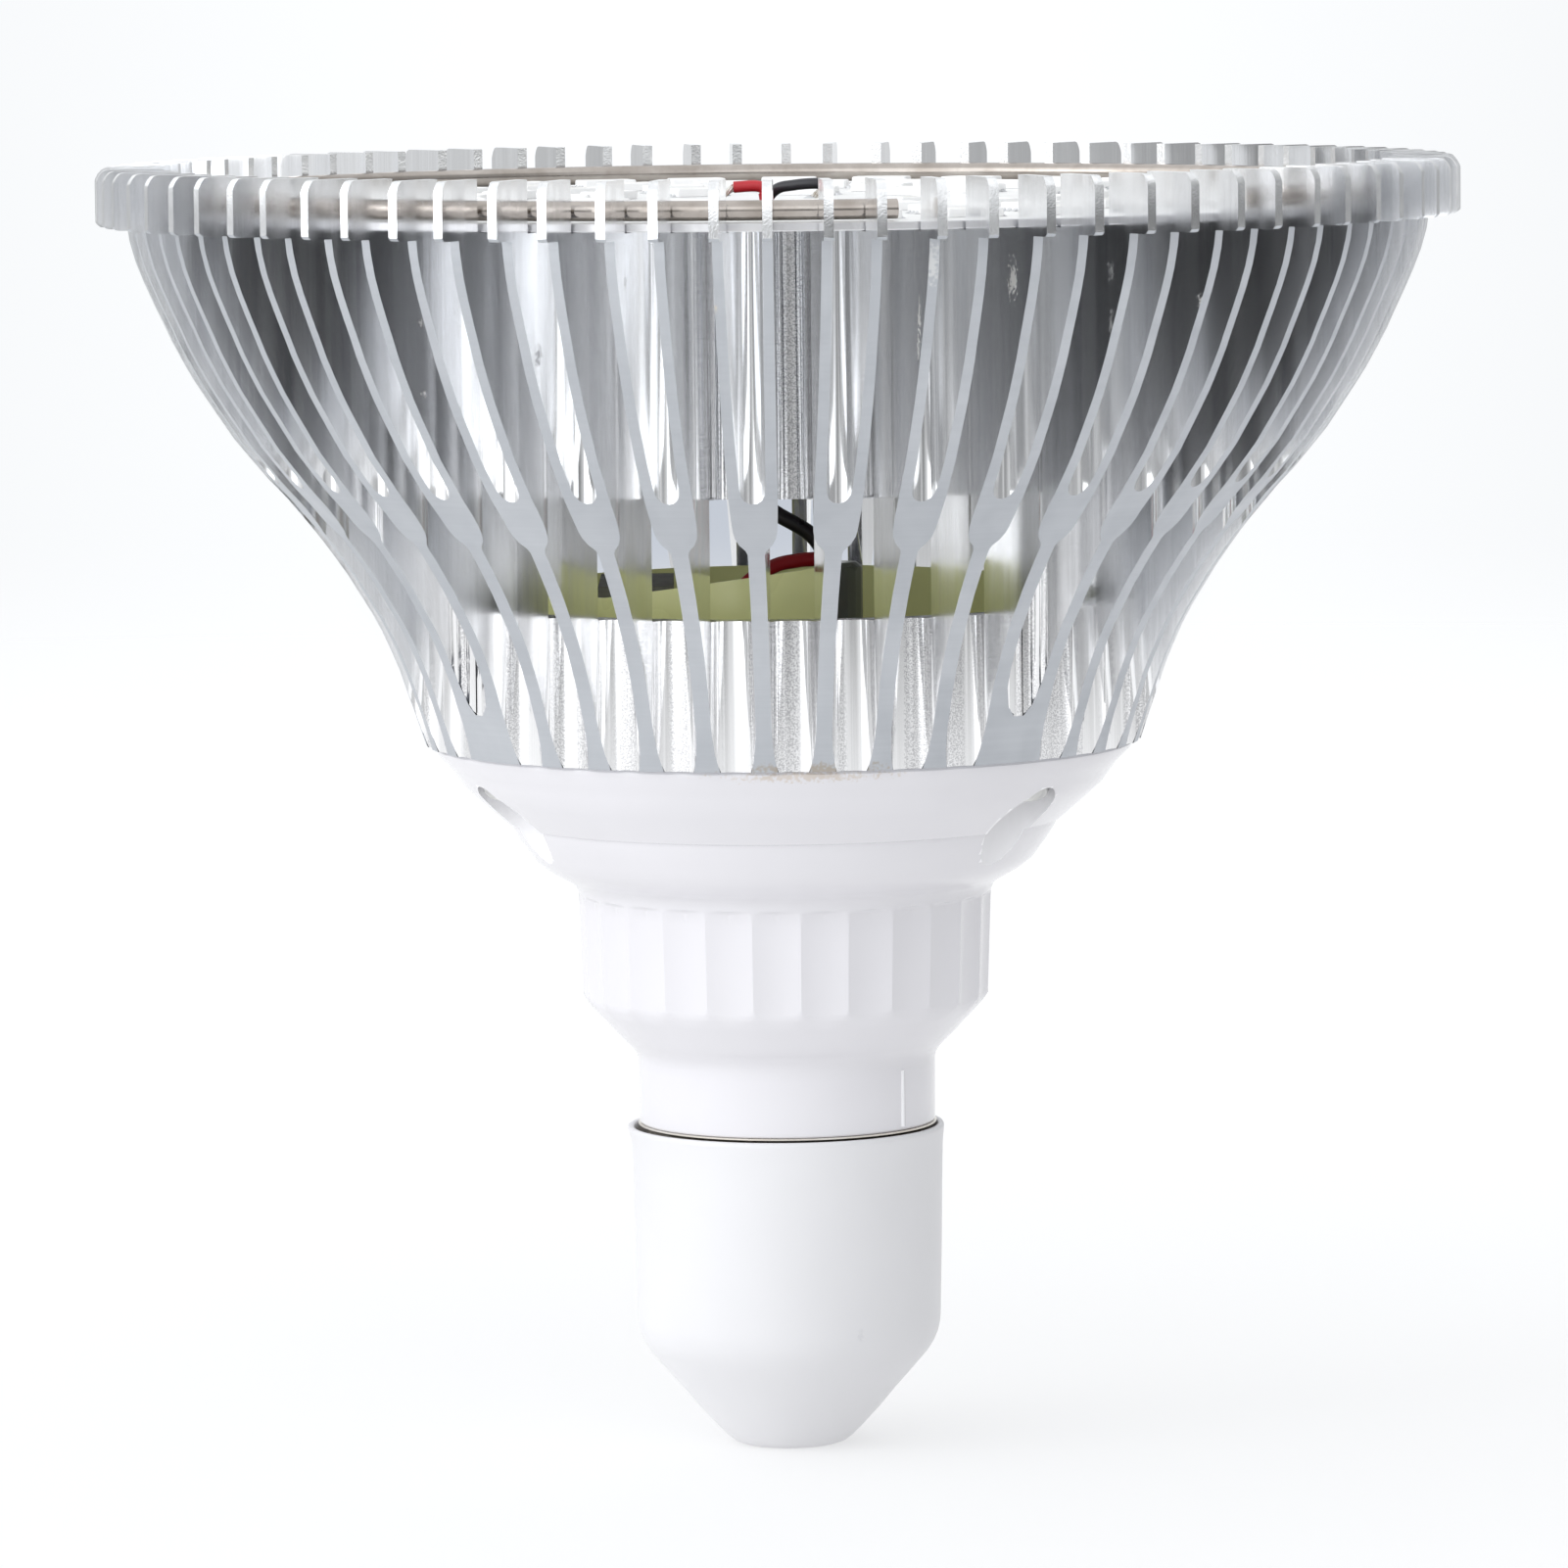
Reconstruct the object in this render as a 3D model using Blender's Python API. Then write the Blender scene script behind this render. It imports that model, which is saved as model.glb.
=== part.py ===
"""LED grow light bulb with a forked-fin aluminium heat sink and an E27 screw base.

Frame: metres, +Z along the axis towards the LED face, origin on the axis at the tip of the centre contact.
Heights in the profiles below are written in millimetres down from the rim of the heat sink.
"""
import math

import bmesh
import bpy

MM = 0.001

# ---- driving dimensions, millimetres -------------------------------------------------------------------------------
RIM_HEIGHT = 113.0          # rim of the heat sink above the contact tip
STEMS = 40                  # radial stems round the hub
STEM_PHASE = -2.94          # azimuth of the first stem, degrees from the front (-Y), towards +X
PITCH = 360.0 / STEMS
ARM_ANGLE = 2.105           # each arm stands this far to either side of its stem
HUB_BORE = 30.0
VALLEY_FLOOR = 31.75
WIDE_ROOT_FLOOR = 33.6      # floor between the two stems of a wide root
WIDE_ROOTS = (-6, 4, 14, 24)  # stems that start a wide root
SINK_BOTTOM = -52.1
GROOVE_RADIUS = 33.3        # inner groove that opens the hub wall between the stems
GROOVE_TOP = -28.4
GROOVE_BOTTOM = -38.95
LEDGE = -4.75               # seat of the LED board
RECESS_RADIUS = 55.0
RIM_RADIUS = 61.0
PORT_RADIUS = 26.0          # circle of the three screw ports
PORT_AZIMUTHS = (-67.3, 52.7, 172.7)
PORT_HOLE = 1.6
GAP = 0.3                   # clearance between neighbouring pieces
BOARD_TOP = -3.85
BOARD_RADIUS = 54.6
BOARD_THICKNESS = 0.6
BOARD_HOLE = 5.0
LED_LENGTH, LED_WIDTH, LED_HEIGHT = 5.2, 3.0, 0.9
LED_RINGS = ((47.8, 34, 178.7), (38.0, 26, 174.0), (28.2, 18, 180.0), (18.4, 11, 171.0))
RING_CENTRE = 53.8          # retaining ring, centre line radius
RING_WIRE = 0.85            # radius of its wire
RING_START, RING_SWEEP = 10.7, 328.7
WELL_RADIUS = 3.3
SEAT = -54.0                # underside of the housing flange inside a screw well
THREAD_PITCH = 3.62         # E27
THREAD_CREST, THREAD_ROOT = 13.05, 12.15
DRIVER_TOP = -54.4
DRIVER_RADIUS = 20.5
WIRE_RADIUS = 0.65
SEGMENTS = 40


def level(z):
    """Height below the rim in millimetres to metres in the model's frame."""
    return (z + RIM_HEIGHT) * MM


def polar(r, azimuth, along=0.0):
    """Point at radius r on an azimuth measured from the front, shifted sideways by `along` millimetres."""
    a = math.radians(azimuth)
    return (r * math.sin(a) + along * math.cos(a), -r * math.cos(a) + along * math.sin(a))


# ---- scene and materials -------------------------------------------------------------------------------------------
for old in list(bpy.data.objects):
    bpy.data.objects.remove(old, do_unlink=True)


def material(name, colour, roughness, metallic):
    mat = bpy.data.materials.new(name)
    mat.use_nodes = True
    shader = mat.node_tree.nodes["Principled BSDF"]
    shader.inputs["Base Color"].default_value = (*colour, 1.0)
    shader.inputs["Roughness"].default_value = roughness
    shader.inputs["Metallic"].default_value = metallic
    mat.diffuse_color = (*colour, 1.0)
    return mat


ALUMINIUM = material("aluminium", (0.62, 0.64, 0.67), 0.35, 1.0)
SPRING_WIRE = material("spring_wire", (0.55, 0.52, 0.50), 0.2, 1.0)
BOARD_WHITE = material("board_white", (0.9, 0.9, 0.88), 0.4, 0.0)
WHITE_PLASTIC = material("white_plastic", (0.86, 0.85, 0.87), 0.25, 0.0)
CAP_PLASTIC = material("cap_plastic", (0.88, 0.90, 0.92), 0.35, 0.0)
NICKEL = material("nickel_plate", (0.7, 0.68, 0.64), 0.3, 1.0)
BRASS = material("contact_brass", (0.75, 0.6, 0.35), 0.3, 1.0)
BLACK_GLASS = material("black_insulator", (0.02, 0.02, 0.025), 0.2, 0.0)
FILM = material("yellow_film", (0.36, 0.40, 0.10), 0.35, 0.0)
BOARD_GREEN = material("driver_laminate", (0.05, 0.22, 0.10), 0.5, 0.0)
FERRITE = material("ferrite", (0.07, 0.065, 0.05), 0.6, 0.0)
TAPE = material("winding_tape", (0.62, 0.52, 0.10), 0.4, 0.0)
CAN_BLACK = material("capacitor_sleeve", (0.03, 0.03, 0.04), 0.3, 0.0)
CAN_GREEN = material("dark_green_sleeve", (0.05, 0.08, 0.06), 0.35, 0.0)
FILM_BOX = material("film_capacitor_box", (0.55, 0.08, 0.04), 0.35, 0.0)
CHIP = material("moulded_black", (0.02, 0.02, 0.02), 0.5, 0.0)
RESISTOR = material("resistor_body", (0.25, 0.38, 0.30), 0.45, 0.0)
RED = material("red_insulation", (0.55, 0.03, 0.04), 0.35, 0.0)
BLACK = material("black_insulation", (0.02, 0.02, 0.03), 0.35, 0.0)
BROWN = material("brown_insulation", (0.22, 0.08, 0.03), 0.4, 0.0)
BLUE = material("blue_insulation", (0.04, 0.10, 0.40), 0.4, 0.0)
ZINC = material("zinc_screw", (0.6, 0.6, 0.58), 0.35, 1.0)


# ---- modelling helpers ---------------------------------------------------------------------------------------------
def put(name, bm, mat, smooth=True, cutter=False):
    """Turn a bmesh into a named object."""
    bmesh.ops.recalc_face_normals(bm, faces=bm.faces)
    mesh = bpy.data.meshes.new(name)
    bm.to_mesh(mesh)
    bm.free()
    obj = bpy.data.objects.new(name, mesh)
    bpy.context.scene.collection.objects.link(obj)
    if mat is not None:
        mesh.materials.append(mat)
    if smooth:
        mesh.shade_smooth()
        mesh.set_sharp_from_angle(angle=math.radians(35))
    if cutter:
        obj.hide_render = True
        obj.display_type = "WIRE"
    return obj


def lathe_into(bm, profile, segments=SEGMENTS, start=0.0, at=(0.0, 0.0)):
    """Revolve a closed (radius, height) outline; corners on the axis have radius 0."""
    cx, cy = at
    rings = []
    for r, z in profile:
        if r <= 1e-9:
            rings.append([bm.verts.new((cx * MM, cy * MM, level(z)))])
            continue
        ring = []
        for i in range(segments):
            x, y = polar(r, start + 360.0 * i / segments)
            ring.append(bm.verts.new(((cx + x) * MM, (cy + y) * MM, level(z))))
        rings.append(ring)
    count = len(rings)
    for k in range(count):
        a, b = rings[k], rings[(k + 1) % count]
        if len(a) == 1 and len(b) == 1:
            continue
        for i in range(segments):
            j = (i + 1) % segments
            if len(a) == 1:
                bm.faces.new((a[0], b[j], b[i]))
            elif len(b) == 1:
                bm.faces.new((a[i], a[j], b[0]))
            else:
                bm.faces.new((a[i], a[j], b[j], b[i]))


def lathe(name, profile, mat, segments=SEGMENTS, start=0.0, at=(0.0, 0.0), cutter=False):
    bm = bmesh.new()
    lathe_into(bm, profile, segments, start, at)
    return put(name, bm, mat, cutter=cutter)


def prism_into(bm, outline, z0, z1):
    """Extrude a closed outline of (x, y) millimetres from z0 to z1."""
    low = [bm.verts.new((x * MM, y * MM, level(z0))) for x, y in outline]
    high = [bm.verts.new((x * MM, y * MM, level(z1))) for x, y in outline]
    bm.faces.new(list(reversed(low)))
    bm.faces.new(high)
    for i in range(len(outline)):
        j = (i + 1) % len(outline)
        bm.faces.new((low[i], low[j], high[j], high[i]))


def prism(name, outline, z0, z1, mat, cutter=False, smooth=True):
    bm = bmesh.new()
    prism_into(bm, outline, z0, z1)
    return put(name, bm, mat, cutter=cutter, smooth=smooth)


def disc_outline(r, segments=SEGMENTS, at=(0.0, 0.0), start=0.0):
    points = [polar(r, start + 360.0 * i / segments) for i in range(segments)]
    return [(at[0] + x, at[1] + y) for x, y in points]


def box_into(bm, low, high):
    outline = ((low[0], low[1]), (high[0], low[1]), (high[0], high[1]), (low[0], high[1]))
    prism_into(bm, outline, low[2], high[2])


def box(name, low, high, mat, bevel=0.3):
    bm = bmesh.new()
    box_into(bm, low, high)
    obj = put(name, bm, mat, smooth=False)
    if bevel:
        mod = obj.modifiers.new("edges", "BEVEL")
        mod.width = bevel * MM
        mod.segments = 1
        mod.limit_method = "ANGLE"
    return obj


def boolean(obj, cutter, operation):
    mod = obj.modifiers.new(cutter.name, "BOOLEAN")
    mod.operation = operation
    mod.solver = "EXACT"
    mod.object = cutter


def smooth_path(points, steps):
    """Catmull-Rom curve through the route's own points."""
    pts = [points[0]] + list(points) + [points[-1]]
    out = []
    for k in range(len(pts) - 3):
        p0, p1, p2, p3 = pts[k:k + 4]
        for s in range(steps):
            t = s / steps
            out.append(tuple(
                0.5 * (2 * b + (c - a) * t + (2 * a - 5 * b + 4 * c - d) * t * t + (3 * b - a - 3 * c + d) * t ** 3)
                for a, b, c, d in zip(p0, p1, p2, p3)))
    out.append(tuple(pts[-2]))
    return out


def tube(name, points, radius, mat, resolution=1):
    """Round wire along a list of (x, y, height) points."""
    data = bpy.data.curves.new(name, "CURVE")
    data.dimensions = "3D"
    data.bevel_depth = radius * MM
    data.bevel_resolution = resolution
    data.use_fill_caps = True
    spline = data.splines.new("POLY")
    spline.points.add(len(points) - 1)
    for item, (x, y, z) in zip(spline.points, points):
        item.co = (x * MM, y * MM, level(z), 1.0)
    data.materials.append(mat)
    obj = bpy.data.objects.new(name, data)
    bpy.context.scene.collection.objects.link(obj)
    return obj


# ---- heat sink -----------------------------------------------------------------------------------------------------
def stem_outline(index):
    """One stem with its two arms, from the valley before it to the valley after it."""
    azimuth = STEM_PHASE + PITCH * index
    plain = [(31.78, -1.95), (32.95, -0.72)]
    raised = [(33.62, -2.15), (34.8, -0.72)]
    before = raised if (index - 1) % STEMS in [w % STEMS for w in WIDE_ROOTS] else plain
    after = raised if index % STEMS in [w % STEMS for w in WIDE_ROOTS] else plain
    slope = math.tan(math.radians(ARM_ANGLE))
    body = [
        (42.0, -0.74), (43.6, -1.85), (46.0, -(46.0 * slope + 0.60)),
        (62.5, -(62.5 * slope + 0.42)), (62.5, -(62.5 * slope - 0.42)),
        (47.0, -(47.0 * slope - 0.60)), (46.05, -0.55),
    ]
    left = before + body
    right = [(u, -v) for u, v in reversed(after + body)]
    return [polar(u, azimuth, v) for u, v in left + right]


def bore_outline():
    """Hub bore with the three screw ports standing in from its wall."""
    bump = [(29.94, -1.9), (28.32, -1.9), (27.5, -2.6), (26.0, -3.0), (24.2, -2.4), (23.2, -1.1)]
    bump = bump + [(u, -v) for u, v in reversed(bump)]
    points = []
    edges = sorted(a % 360.0 for a in PORT_AZIMUTHS)
    for k, azimuth in enumerate(edges):
        points += [polar(u, azimuth, v) for u, v in bump]
        following = edges[(k + 1) % 3] + (360.0 if k == 2 else 0.0)
        start, stop = azimuth + 4.0, following - 4.0
        steps = 18
        points += [polar(HUB_BORE, start + (stop - start) * (i + 0.5) / steps) for i in range(steps)]
    return points


outline = []
for stem in range(STEMS):
    outline += stem_outline(stem)
heat_sink = prism("heat_sink", outline, SINK_BOTTOM, 0.0, ALUMINIUM)

FACET = 1.0 / math.cos(math.radians(PITCH / 2))   # facets stand at the true radius half way between their corners
turned = [
    (0.0, 2.0), (58.2, 2.0), (RIM_RADIUS, -0.8), (RIM_RADIUS, -5.1),
    (58.2, -5.1), (55.2, -13.7), (50.4, -22.3), (43.1, -31.2), (37.9, -38.3), (34.2, -46.0),
    (32.3, -51.7), (31.6, -54.0), (0.0, -54.0),
]
turned_solid = lathe("turning_envelope", [(r * FACET, z) for r, z in turned], None, segments=STEMS,
                     start=STEM_PHASE + PITCH / 2, cutter=True)
bore = prism("bore_cutter", bore_outline(), SINK_BOTTOM - 3.0, 3.0, None, cutter=True)
groove = prism("groove_cutter", disc_outline(GROOVE_RADIUS * FACET, STEMS, start=STEM_PHASE + PITCH / 2),
               GROOVE_BOTTOM, GROOVE_TOP, None, cutter=True)
recess = prism("recess_cutter", disc_outline(RECESS_RADIUS * FACET, STEMS, start=STEM_PHASE + PITCH / 2),
               LEDGE, 3.0, None, cutter=True)
port_bm = bmesh.new()
for az in PORT_AZIMUTHS:
    prism_into(port_bm, disc_outline(PORT_HOLE, 10, at=polar(PORT_RADIUS, az)), SINK_BOTTOM - 3.0, 3.0)
ports = put("port_hole_cutter", port_bm, None, cutter=True)
boolean(heat_sink, turned_solid, "INTERSECT")
boolean(heat_sink, bore, "DIFFERENCE")
boolean(heat_sink, groove, "DIFFERENCE")
boolean(heat_sink, recess, "DIFFERENCE")
boolean(heat_sink, ports, "DIFFERENCE")

# ---- retaining ring ------------------------------------------------------------------------------------------------
ring_points = []
for i in range(46):
    x, y = polar(RING_CENTRE, RING_START - RING_SWEEP * i / 45)
    ring_points.append((x, y, BOARD_TOP + GAP + RING_WIRE))
tube("retaining_ring", ring_points, RING_WIRE, SPRING_WIRE, resolution=1)

# ---- LED board with its soldered packages --------------------------------------------------------------------------
board_profile = [(BOARD_HOLE, BOARD_TOP), (BOARD_RADIUS, BOARD_TOP),
                 (BOARD_RADIUS, BOARD_TOP - BOARD_THICKNESS), (BOARD_HOLE, BOARD_TOP - BOARD_THICKNESS)]
led_board = lathe("led_board", board_profile, BOARD_WHITE, segments=48)
led_bm = bmesh.new()
for radius, count, phase in LED_RINGS:
    for i in range(count):
        azimuth = phase + 360.0 * i / count
        corners = [polar(radius + du, azimuth, dv) for du, dv in (
            (-LED_WIDTH / 2, -LED_LENGTH / 2), (LED_WIDTH / 2, -LED_LENGTH / 2),
            (LED_WIDTH / 2, LED_LENGTH / 2), (-LED_WIDTH / 2, LED_LENGTH / 2))]
        prism_into(led_bm, corners, BOARD_TOP - 0.3, BOARD_TOP + LED_HEIGHT)
leds = put("led_packages", led_bm, None, smooth=False, cutter=True)
boolean(led_board, leds, "UNION")

# ---- white housing -------------------------------------------------------------------------------------------------
shell_outside = [
    (0.0, -52.4), (31.5, -52.4), (28.9, -55.7), (24.8, -59.3), (24.1, -60.3), (22.2, -63.0), (20.2, -64.3),
    (18.6, -65.4), (18.3, -75.1), (14.2, -79.6), (13.4, -80.7), (13.4, -86.1), (11.2, -86.1), (11.2, -100.0),
    (0.0, -100.0),
]
cavity = [
    (0.0, -50.0), (27.4, -50.0), (27.4, -54.2), (24.3, -58.0), (20.4, -62.7), (16.6, -67.0),
    (16.3, -74.6), (11.7, -80.6), (10.0, -85.6), (10.0, -102.0), (0.0, -102.0),
]
housing = lathe("housing", shell_outside, WHITE_PLASTIC, segments=36)
hollow = lathe("cavity_cutter", cavity, None, segments=36, cutter=True)
column_bm = bmesh.new()
for az in PORT_AZIMUTHS:
    prism_into(column_bm, disc_outline(WELL_RADIUS + 1.2, 14, at=polar(PORT_RADIUS, az)), -72.0, -52.4)
for az in (-7.0, 113.0, 233.0):
    prism_into(column_bm, disc_outline(1.5, 8, at=polar(18.5, az)), -72.0, -56.3)
columns = put("column_cutter", column_bm, None, cutter=True)
boolean(hollow, columns, "DIFFERENCE")
well_bm = bmesh.new()
for az in PORT_AZIMUTHS:
    prism_into(well_bm, disc_outline(WELL_RADIUS, 14, at=polar(PORT_RADIUS, az)), -72.0, SEAT)
wells = put("well_cutter", well_bm, None, cutter=True)
hole_bm = bmesh.new()
for az in PORT_AZIMUTHS:
    prism_into(hole_bm, disc_outline(PORT_HOLE + 0.1, 10, at=polar(PORT_RADIUS, az)), -58.0, -50.0)
screw_holes = put("screw_hole_cutter", hole_bm, None, cutter=True)
boolean(housing, hollow, "DIFFERENCE")
boolean(housing, wells, "DIFFERENCE")
boolean(housing, screw_holes, "DIFFERENCE")

# ---- housing screws ------------------------------------------------------------------------------------------------
for number, az in enumerate(PORT_AZIMUTHS, 1):
    profile = [(0.0, -44.0), (0.9, -44.0), (1.25, -44.8), (1.25, -54.35), (2.8, -54.35), (2.8, -55.5),
               (2.2, -56.2), (0.0, -56.4)]
    lathe("housing_screw_%d" % number, profile, ZINC, segments=12, at=polar(PORT_RADIUS, az))


# ---- screw base ----------------------------------------------------------------------------------------------------
def threaded_shell():
    """Rolled screw shell: a helical wave outside, a plain bore inside."""
    segments, rows = 20, 18
    top, bottom = -87.2, -103.6
    mid = (THREAD_CREST + THREAD_ROOT) / 2
    depth = (THREAD_CREST - THREAD_ROOT) / 2
    bm = bmesh.new()
    rings = []

    def plain(r, z):
        return [bm.verts.new((r * math.sin(2 * math.pi * i / segments) * MM,
                              -r * math.cos(2 * math.pi * i / segments) * MM, level(z))) for i in range(segments)]

    rings.append(plain(13.6, -86.4))
    rings.append(plain(13.6, -86.7))
    rings.append(plain(12.8, -86.95))
    for k in range(rows):
        z = top + (bottom - top) * k / (rows - 1)
        fade = min(1.0, k / 3.0, (rows - 1 - k) / 3.0)
        ring = []
        for i in range(segments):
            a = 2 * math.pi * i / segments
            wave = math.cos(2 * math.pi * z / THREAD_PITCH - a)
            r = mid + depth * wave * fade
            ring.append(bm.verts.new((r * math.sin(a) * MM, -r * math.cos(a) * MM, level(z))))
        rings.append(ring)
    rings.append(plain(11.9, -104.6))
    rings.append(plain(9.6, -106.0))
    rings.append(plain(7.6, -106.0))
    rings.append(plain(7.6, -105.7))
    rings.append(plain(9.3, -105.6))
    rings.append(plain(11.5, -104.2))
    rings.append(plain(11.55, -86.4))
    for k in range(len(rings)):
        a, b = rings[k], rings[(k + 1) % len(rings)]
        for i in range(segments):
            j = (i + 1) % segments
            bm.faces.new((a[i], a[j], b[j], b[i]))
    return put("screw_shell", bm, NICKEL)


threaded_shell()
lathe("base_insulator", [(1.6, -104.9), (7.2, -104.9), (7.2, -106.35), (9.2, -106.35), (8.8, -107.4), (6.0, -110.6),
                         (5.0, -110.9), (1.6, -110.9)], BLACK_GLASS, segments=20)
lathe("centre_contact", [(0.0, -111.2), (4.2, -111.2), (4.7, -111.6), (4.3, -112.4), (2.5, -113.0), (0.0, -113.0)],
      BRASS, segments=18)

# ---- push-on protective cap ----------------------------------------------------------------------------------------
cap_profile = [
    (14.1, -87.0), (13.75, -104.8), (13.4, -106.2), (12.6, -107.6), (9.6, -111.0), (6.5, -114.5),
    (4.3, -116.1), (0.0, -116.1),
    (0.0, -115.3), (4.0, -115.3), (5.6, -114.2), (8.9, -110.6), (12.0, -107.0), (13.35, -104.4),
    (13.4, -87.0),
]
lathe("base_cap", cap_profile, CAP_PLASTIC, segments=36)


# ---- insulating film round the driver ------------------------------------------------------------------------------
def film_sheet():
    """Open roll of sheet; its front edge stands higher towards the free end."""
    outer, inner, low = 22.6, 22.3, -51.8
    start, sweep, steps = 10.5, 300.0, 36
    bm = bmesh.new()
    columns = []
    for i in range(steps + 1):
        az = start - sweep * i / steps
        travelled = start - az
        if travelled < 55.0:
            top = -34.9 - 3.1 * travelled / 55.0
        else:
            top = -38.0
        ring = []
        for r, z in ((outer, low), (outer, top), (inner, top), (inner, low)):
            x, y = polar(r, az)
            ring.append(bm.verts.new((x * MM, y * MM, level(z))))
        columns.append(ring)
    for a, b in zip(columns, columns[1:]):
        for k in range(4):
            m = (k + 1) % 4
            bm.faces.new((a[k], a[m], b[m], b[k]))
    bm.faces.new(columns[0])
    bm.faces.new(list(reversed(columns[-1])))
    return put("insulating_film", bm, FILM)


film_sheet()

# ---- driver --------------------------------------------------------------------------------------------------------
lathe("driver_board", [(0.0, DRIVER_TOP), (DRIVER_RADIUS, DRIVER_TOP), (DRIVER_RADIUS, DRIVER_TOP - 1.6),
                       (0.0, DRIVER_TOP - 1.6)], BOARD_GREEN, segments=32)
FOOT = DRIVER_TOP + GAP
core_x0, core_x1 = -16.4, -9.8
core_bm = bmesh.new()
box_into(core_bm, (core_x0, -8.0, FOOT), (core_x1, 8.0, -37.6))
transformer_core = put("transformer_core", core_bm, FERRITE, smooth=False)
window_bm = bmesh.new()
box_into(window_bm, (core_x0 - 2, 2.2, -51.1), (core_x1 + 2, 5.4, -40.6))
box_into(window_bm, (core_x0 - 2, -5.4, -51.1), (core_x1 + 2, -2.2, -40.6))
core_windows = put("core_window_cutter", window_bm, None, smooth=False, cutter=True)
boolean(transformer_core, core_windows, "DIFFERENCE")
winding_bm = bmesh.new()
outer_loop = [(-19.4, -4.1), (-18.4, -5.1), (-7.8, -5.1), (-6.8, -4.1), (-6.8, 4.1), (-7.8, 5.1), (-18.4, 5.1),
              (-19.4, 4.1)]
inner_loop = [(core_x0 - 0.3, -2.5), (core_x1 + 0.3, -2.5), (core_x1 + 0.3, 2.5), (core_x0 - 0.3, 2.5)]
prism_into(winding_bm, outer_loop, -50.8, -40.9)
transformer_bobbin = put("transformer_bobbin", winding_bm, TAPE, smooth=False)
leg_bm = bmesh.new()
prism_into(leg_bm, inner_loop, -53.0, -39.0)
leg_cutter = put("leg_cutter", leg_bm, None, smooth=False, cutter=True)
boolean(transformer_bobbin, leg_cutter, "DIFFERENCE")


def can(name, at, radius, top, mat, segments=20):
    """Radial capacitor can with a crimped groove and a flat top."""
    profile = [(0.0, top), (radius - 0.5, top), (radius, top - 0.4), (radius, FOOT + 2.4), (radius - 0.35, FOOT + 1.9),
               (radius, FOOT + 1.4), (radius, FOOT), (0.0, FOOT)]
    return lathe(name, profile, mat, segments=segments, at=at)


can("bulk_capacitor", (12.5, -8.8), 5.0, -42.6, CAN_BLACK)
can("output_capacitor", (5.1, 3.6), 2.2, -36.4, CAN_GREEN, segments=16)
box("film_capacitor", (-3.2, -17.0, FOOT), (6.0, -12.2, -45.0), FILM_BOX, bevel=0.5)
box("bridge_rectifier", (-4.5, 8.4, FOOT), (3.2, 13.6, -51.6), CHIP, bevel=0.3)
lathe("line_inductor", [(0.0, -44.2), (4.0, -44.2), (4.0, -45.6), (3.1, -45.8), (3.1, -52.4), (4.0, -52.6),
                        (4.0, FOOT), (0.0, FOOT)], FERRITE, segments=20, at=(12.4, 7.6))
box("driver_chip", (-3.2, -4.2, FOOT), (1.2, 1.6, -52.5), CHIP, bevel=0.25)
resistor_bm = bmesh.new()
sections = ((-2.0, 1.2), (-1.6, 1.5), (-0.8, 1.5), (-0.4, 1.3), (4.4, 1.3), (4.8, 1.5), (5.6, 1.5), (6.0, 1.2))
loops = []
for x, r in sections:
    loops.append([resistor_bm.verts.new((x * MM, (16.6 + r * math.cos(math.pi * k / 6)) * MM,
                                         level(-52.3 + r * math.sin(math.pi * k / 6)))) for k in range(12)])
for a, b in zip(loops, loops[1:]):
    for k in range(12):
        m = (k + 1) % 12
        resistor_bm.faces.new((a[k], a[m], b[m], b[k]))
resistor_bm.faces.new(loops[0])
resistor_bm.faces.new(list(reversed(loops[-1])))
put("fuse_resistor", resistor_bm, RESISTOR)

# ---- leads ---------------------------------------------------------------------------------------------------------
red_route = [(-7.0, -9.8, FOOT), (-7.0, -9.8, -48.0), (-6.0, -10.0, -41.0), (-3.2, -9.0, -37.4), (-0.6, -7.6, -35.9),
             (1.6, -6.6, -35.5), (3.6, -5.8, -35.2), (4.9, -5.0, -33.0), (4.6, -4.4, -28.0), (2.6, -3.2, -18.0),
             (-0.9, -1.9, -9.0), (-1.2, -0.5, -5.0), (-1.6, -0.2, -3.1), (-2.5, -0.2, -2.4), (-4.4, -0.2, -2.3)]
tube("red_wire", smooth_path(red_route, 3), WIRE_RADIUS, RED)
black_route = [(4.0, -2.0, FOOT), (4.0, -2.0, -47.0), (4.0, -2.0, -41.0), (4.1, -1.9, -36.4), (2.7, -1.8, -33.6),
               (-0.6, -1.8, -31.5), (-2.1, -1.6, -29.9), (-2.3, -0.8, -25.0), (-1.7, 1.2, -12.0), (-1.2, 1.6, -5.6),
               (-0.9, 1.6, -3.6), (0.0, 1.2, -2.6), (1.4, 0.7, -2.3), (3.0, 0.3, -2.15), (4.6, 0.2, -2.2)]
tube("black_wire", smooth_path(black_route, 3), WIRE_RADIUS, BLACK)
live_route = [(0.0, 0.0, -110.8), (0.0, 0.0, -104.0), (0.6, -0.6, -96.0), (1.5, -1.0, -86.0), (2.4, -2.0, -74.0),
              (4.2, -3.0, -64.0), (5.0, -3.0, -59.0), (5.0, -3.0, DRIVER_TOP - 1.6 - GAP)]
tube("live_wire", smooth_path(live_route, 3), 0.7, BROWN)
neutral_route = [(10.5, 0.0, -101.6), (9.2, 0.2, -100.6), (8.2, 0.6, -97.0), (7.0, 1.2, -90.0), (4.0, 2.6, -80.0),
                 (-1.0, 3.4, -72.0), (-4.4, 3.2, -64.0), (-5.0, 3.0, DRIVER_TOP - 1.6 - GAP)]
tube("neutral_wire", smooth_path(neutral_route, 3), 0.7, BLUE)
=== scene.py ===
"""Looks for the LED grow light bulb: forked-fin aluminium heat sink, LED board, white housing and base cap.

Metres, +Z along the axis towards the LED face. Heights in the profiles are millimetres down from the rim.
"""

import math

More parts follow.
